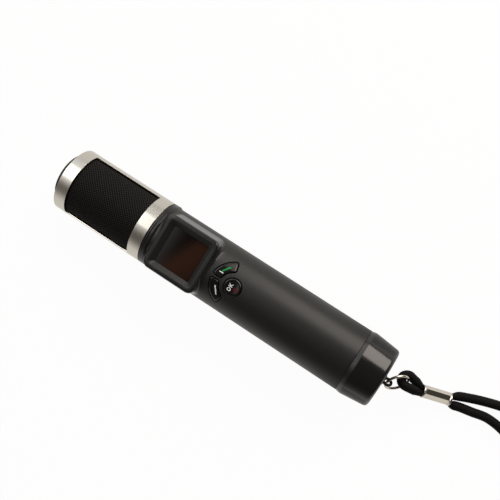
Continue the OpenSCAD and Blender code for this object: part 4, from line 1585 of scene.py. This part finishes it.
    def loop(
        self, ellipse: Sequence[Sequence[float]], width: float, start_deg: float, end_deg: float
    ) -> Shape:
        """Printed stroke along an ellipse on the round key, such as a letter O or the ring of a power mark.

        Args:
            ellipse: its middle from the key's middle, and its half sizes along and across the barrel.
            width: width of the stroke.
            start_deg: first angle, from +X.
            end_deg: last angle.

        Returns:
            Shape with the stroke.
        """
        middle, radii = ellipse
        a = np.radians(np.linspace(start_deg, end_deg, 40))[:, None]
        ring = np.stack([np.cos(a), np.sin(a)], axis=-1)
        offsets = np.array([-0.5, -0.5, 0.5, 0.5]) * width
        lifts = np.array([self.ok.root, self.ok.film, self.ok.film, self.ok.root])
        plan = self.here + middle + ring * (np.array(radii) + offsets[None, :, None])
        grid = on_barrel(plan, self.ok.face_r(plan) + lifts)
        whole = end_deg - start_deg >= 359
        shape = Shape()
        shape.add_grid(grid[:-1] if whole else grid, close_rows=whole, caps=not whole)
        return shape

    def build(self) -> None:
        """Makes the keys and prints their marks."""
        for key in (self.ok, self.left, self.right):
            key.build()
        letters = self.loop(self.letter_o, self.letter_w, 0, 360)
        for ends in self.letter_k:
            self.ok.stamp(letters, self.bar(ends, self.letter_w))
        install(letters.piece("ok_letters"), INK_WHITE, "ok_key", "key_black")
        power = self.loop(self.power_loop, self.power_w, -self.power_half_deg, self.power_half_deg)
        self.ok.stamp(power, self.bar(self.power_bar, self.power_w))
        install(power.piece("power_mark"), INK_RED, "ok_key", "key_black")
        for name, ink, side, start, end, width in self.bars:
            key = self.right if side > 0 else self.left
            mark = Shape()
            key.stamp(mark, self.bar((start, end), width))
            install(mark.piece(name), ink, key.body, "key_black")


@dataclass
class Housing:
    """The two halves of the grip, with collar, display frame and key openings."""

    grip_r: float = 21.0
    wall: float = 2.2
    collar_r: float = 21.8
    collar_len: float = 4.0
    shadow_w: float = 0.7
    groove_from: float = 1.75
    groove_half: float = 0.3
    groove: float = 0.3
    seam: float = 0.22

    display_from_shell: float = 25.5
    frame_len: float = 38.4
    frame_w: float = 37.4
    frame_corner: float = 5.0
    frame_edge: float = 1.6
    frame_draft: float = 1.4
    # Blend of the frame into the grip: start before the two meet, reach past it at the ends and at the sides
    blend_in: float = 3.0
    blend_out: float = 2.6
    blend_side: float = 0.4
    # Share of the frame's profile that the blend takes at most
    blend_most: float = 0.7
    # Depth of the blend's end and of its skirt under the grip, and height of the pad's underside
    blend_sink: float = 0.05
    skirt: float = 1.0
    pad_low: float = 5.0

    rim_half: float = 15.6
    window_half: float = 12.8
    window_corner: float = 0.6
    window_depth: float = 2.9
    window_land: float = 0.5
    lens_seat: float = 14.95
    lens_stack: float = 1.9
    module_seat: float = 16.15
    # Softened rim of the window: growth of the rim, corner and height over the frame
    rim: ClassVar[Sequence[tuple[float, ...]]] = (
        (-0.35, 2.1, -0.32), (-0.05, 2.3, -0.1), (0.4, 2.6, 0.02), (1.0, 3.0, 1.0),
    )

    key_gap: float = 0.45
    key_low: float = 9.0
    key_high: float = 3.0
    # Broken edge of a key's opening: growth of the gap and height over the grip
    key_break: ClassVar[Sequence[tuple[float, ...]]] = ((0.0, -0.28), (0.06, -0.12), (0.28, 0.03), (1.2, 1.0))
    screw_hole_r: float = 2.4
    screw_head_gap: float = 0.15
    # Heights between which the screw holes are cut
    screw_run: tuple[float, float] = (-30.0, -4.0)
    # Cutting bar through the grip: how far it stands out, and how far it cuts past the inner wall
    bore_out: float = 5.0
    bore_gap: float = 0.1
    # Faces are rubbed smooth from this height over the grip, and from this far inside the window's rim
    rubbed: float = 0.04
    rubbed_in: float = 0.1
    crease_deg: float = 32.0

    def __post_init__(self) -> None:
        """Reads the ends of the grip from the frame."""
        self.x0, self.x1 = node_box("front_shell")[:, 0]
        self.x_display = self.x0 + self.display_from_shell

    def half(self, name: str, middle_deg: float) -> bpy.types.Object:
        """Makes one plain half: the grip's profile carried round half a turn, with broken seam edges.

        Args:
            name: name of the piece.
            middle_deg: angle of its middle from straight up.

        Returns:
            The half, not yet carved.
        """
        shadow, end = self.x0 + self.shadow_w, self.x0 + self.collar_len
        groove = self.x0 + self.groove_from
        profile = refined(rounded([
            (self.x0, self.grip_r, 0), (shadow, self.grip_r, 0), (shadow, self.collar_r, 0.25),
            (groove, self.collar_r, 0.12), (groove + self.groove_half, self.collar_r - self.groove, 0.12),
            (groove + 2 * self.groove_half, self.collar_r, 0.12), (end, self.collar_r, 0.5),
            (end + 0.25, self.grip_r, 0.4), (self.x1, self.grip_r, 0.25), (self.x1, self.grip_r - 0.4, 0),
        ]))
        x, r = profile[:, :1], profile[:, 1:]
        quarter = math.pi / 2
        a = np.linspace(-quarter, quarter, 121)[None]
        middle = math.radians(middle_deg)
        shrink = 1 - self.seam / self.grip_r
        outer = around(x, r, middle + a * shrink)
        inner = around(x, self.grip_r - self.wall, middle - a)
        side = [around(x, r - self.seam, middle + way * quarter) for way in (1, -1)]
        return grid_piece(name, np.concatenate([outer, side[0], inner, side[1]], axis=1), caps=True)

    def pad(self) -> bpy.types.Object:
        """Makes the display frame's pad: a profile carried round a rounded square and blended into the grip.

        The profile is a quarter round and a leaning wall, by its own length s. Where it meets the grip is
        found by halving, and a quadratic curve from a little before that place to the grip blends the two.

        Returns:
            The pad, with a flat underside inside the grip.
        """
        plan = rectangle(self.frame_len / 2, self.frame_w / 2, self.frame_corner, 17, 24)
        edge, top = self.frame_edge, self.collar_r
        lean = math.atan2(self.frame_draft, top - edge)
        bend = edge * math.pi / 2
        longest, halvings = 24.0, 40

        def profile(s: np.ndarray) -> tuple[np.ndarray, np.ndarray]:
            """Works out the pad's profile.

            Args:
                s: lengths along it.

            Returns:
                Distance from the core and height above the axis.
            """
            a = np.minimum(s, bend) / edge
            past = np.maximum(s - bend, 0)
            away = self.frame_corner - edge + edge * np.sin(a) + past * math.sin(lean)
            return away, top - edge + edge * np.cos(a) - past * math.cos(lean)

        def grip(away: np.ndarray) -> np.ndarray:
            """Height of the grip under the pad's outline."""
            y = plan.core[:, 1] + away * plan.out[:, 1]
            return np.sqrt(np.maximum(self.grip_r ** 2 - y ** 2, 0))

        def place(away: np.ndarray, z: np.ndarray) -> np.ndarray:
            """Loop of points at a distance from the core and a height above the axis."""
            return at_height(plan.core + away[:, None] * plan.out, z)

        low, high = np.zeros(len(plan.core)), np.full(len(plan.core), longest)
        for _ in range(halvings):
            middle = (low + high) / 2
            away, z = profile(middle)
            above = z > grip(away)
            low, high = np.where(above, middle, low), np.where(above, high, middle)
        meet = low
        across = plan.out[:, 1] ** 2
        start = meet - np.minimum(self.blend_in, self.blend_most * meet)
        rows = [place(*profile(start * share)) for share in np.linspace(0, 1, 13)]
        away_meet, z_meet = profile(meet)
        away_end = away_meet + (self.blend_out * (1 - across) + self.blend_side * across)
        begin, corner = rows[-1], place(away_meet, z_meet)
        end = place(away_end, grip(away_end) - self.blend_sink)
        for t in np.linspace(0, 1, 11)[1:]:
            rows.append((1 - t) ** 2 * begin + 2 * t * (1 - t) * corner + t ** 2 * end)
        rows.append(place(away_end, grip(away_end) - self.skirt))
        rows.append(place(np.zeros(len(meet)), np.full(len(meet), self.pad_low)))
        grid = np.stack(rows)
        grid[..., 0] += self.x_display
        return grid_piece("pad", grid, caps=True)

    def bore(self, r: float) -> bpy.types.Object:
        """Makes a round bar along the inside of the grip, to cut with."""
        profile = np.array([[self.x0 - self.bore_out, r], [self.x1 + self.bore_out, r]])
        return grid_piece("bore", turned(profile, 180), caps=True)

    def window(self) -> bpy.types.Object:
        """Makes the tool that cuts the window: module pocket, lens seat, land, bevel and a softened rim.

        Returns:
            The tool.
        """
        top, corner = self.collar_r, self.window_corner
        glass = top - self.window_depth
        stack = glass - self.lens_stack
        levels = [(half, corner, z) for half, z in (
            (self.module_seat, 0.0), (self.module_seat, stack), (self.lens_seat, stack),
            (self.lens_seat, glass), (self.window_half, glass), (self.window_half, glass + self.window_land),
        )]
        levels += [(self.rim_half + grow, soft, top + lift) for grow, soft, lift in self.rim]
        loops = [at_height(rectangle(half, half, turn, 9, 10).at(), z) for half, turn, z in levels]
        grid = np.stack(loops)
        grid[..., 0] += self.x_display
        return grid_piece("window", grid, caps=True)

    def key_opening(self, key: Key) -> bpy.types.Object:
        """Makes the tool that cuts one key's opening, with a small break along its outer edge.

        Args:
            key: the key.

        Returns:
            The tool.
        """
        plan = key.plan.turned_to(key.place)
        widest = self.key_gap + self.key_break[-1][0]
        levels = [at_height(plan.at(self.key_gap), self.key_low)]
        for grow, lift in self.key_break:
            levels.append(on_barrel(plan.at(self.key_gap + grow), self.grip_r + lift))
        levels.append(at_height(plan.at(widest), self.grip_r + self.key_high))
        return grid_piece("key_opening", np.stack(levels), caps=True)

    def rub_smooth(self, front: bpy.types.Object) -> None:
        """Gives the smoother finish to the faces of the front that stand above the grip.

        Args:
            front: the carved front, with its own finish.
        """
        faces = front.data.polygons
        middle = np.empty(len(faces) * 3)
        faces.foreach_get("center", middle)
        x, y, z = (middle.reshape(-1, 3) / MM - [self.x_display, 0, AXIS_Z]).T
        raised = (np.hypot(y, z) > self.grip_r + self.rubbed) & (x < self.frame_len / 2 + self.blend_out)
        raised &= np.maximum(np.abs(x), np.abs(y)) > self.rim_half - self.rubbed_in
        front.data.materials.append(RUBBED_PAINT.build())
        faces.foreach_set("material_index", raised.astype(np.int32))

    def screw_hole(self, x: float, y: float) -> bpy.types.Object:
        """Makes the tool that cuts one sunk screw hole in the back."""
        plan = disc(self.screw_hole_r, 48).turned_to((x, y)).at(0)
        return grid_piece("screw_hole", np.stack([at_height(plan, z) for z in self.screw_run]), caps=True)

    def build(self, keys: Sequence[Key]) -> None:
        """Makes, carves and dresses both halves.

        Args:
            keys: keys that need an opening.
        """
        pad = self.pad()
        carve(pad, [(self.bore(self.grip_r - self.wall + self.bore_gap), "DIFFERENCE")])
        front = self.half("front_housing", 0)
        tools = [(pad, "UNION"), (self.window(), "DIFFERENCE")]
        tools += [(self.key_opening(key), "DIFFERENCE") for key in keys]
        carve(front, tools, self.crease_deg)
        install(front, SOFT_TOUCH, "case", "shell_charcoal", "front_shell")
        self.rub_smooth(front)
        back = self.half("back_housing", 180)
        inset = (self.screw_hole_r - self.screw_head_gap) * np.array([[1], [-1]])
        places = node_box("shell_screws")[:, :2] + inset
        holes = [(self.screw_hole(x, y), "DIFFERENCE") for x in places[:, 0] for y in places[:, 1]]
        carve(back, holes, self.crease_deg)
        install(back, SOFT_TOUCH, "case", "shell_charcoal", "back_shell")


@dataclass
class Tail:
    """Screw-on tail cap."""

    cap_len: float = 21.1
    grip_r: float = 21.0
    ridge: float = 0.5
    ridge_w: float = 0.6
    flare_len: float = 3.0
    end_r: float = 19.6
    end_round: float = 2.7
    end_wall: float = 3.0
    # Shallow seat of the eye in the end face: depth, radius and the width of its edge
    seat: float = 0.35
    seat_r: float = 6.6
    seat_edge: float = 0.4
    stem_hole_r: float = 2.05
    spigot_r: float = 17.1
    spigot_wall: float = 1.7

    def build(self) -> None:
        """Makes the cap as one turned profile: flare, ridge, taper, round end, then hollow and spigot."""
        low, end = node_box("tail_cap")[:, 0]
        x = end - self.cap_len
        ridge_r = self.grip_r + self.ridge
        flare, seat, hollow = x + self.flare_len, end - self.seat, end - self.end_wall
        hollow_r = self.spigot_r - self.spigot_wall
        skin = rounded([
            (x + 0.2, self.grip_r - 0.02, 0), (flare, ridge_r, 0.35), (flare + self.ridge_w, ridge_r, 0.25),
            (end, self.end_r, self.end_round), (end, self.seat_r + self.seat_edge, 0.3),
            (seat, self.seat_r, 0.2), (seat, self.stem_hole_r, 0),
        ], 7)
        inside = rounded([
            (hollow, self.stem_hole_r, 0), (hollow, hollow_r, 0.4), (low, hollow_r, 0),
            (low, self.spigot_r, 0.3), (x, self.spigot_r, 0), (x, self.grip_r - 0.25, 0),
        ])
        profile = refined(np.concatenate([skin, inside, skin[:1]]))[:-1]
        made = grid_piece("tail_cap_body", turned(profile), close_rows=True)
        install(made, POLISHED_ABS, "cap", "shell_charcoal", "tail_cap")


class Fittings:
    """Nodes of the frame whose shape is right as it is, each with its own finish."""

    finishes: ClassVar[dict[Finish, tuple[str, ...]]] = {
        SMOKED_ACRYLIC: ("display_lens",),
        BLACK_NYLON: ("strap_eye",),
        TRIM_ABS: (
            "head_core", "fan_frame", "fan_rotor", "key_switches", "buzzer", "battery_cradle", "tail_sleeve",
        ),
        NITRILE: ("head_seal", "display_gasket", "tail_seal"),
        SOLDER_MASK: ("sensor_board", "main_board"),
        NICKEL_CAN: ("sensor_cell",),
        SHRINK_WRAP: ("battery_cell",),
        BRASS: ("front_contact", "cap_contact"),
        ZINC: ("shell_screws",),
        PANEL_GLASS: ("display_module",),
    }

    def build(self) -> None:
        """Dresses each node."""
        for finish, nodes in self.finishes.items():
            for node in nodes:
                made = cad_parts[node]
                made.data.materials.clear()
                made.data.materials.append(finish.build())
                LOG.info("%s: %s", node, finish.name)


def main() -> None:
    """Builds the studio and the object."""
    logging.basicConfig(level=logging.INFO, format="%(name)s %(message)s")
    Studio().build()
    WristStrap().build()
    controls = Controls()
    controls.build()
    Housing().build((controls.ok, controls.left, controls.right))
    Head().build()
    Tail().build()
    Fittings().build()


if __name__ == "__main__":
    main()
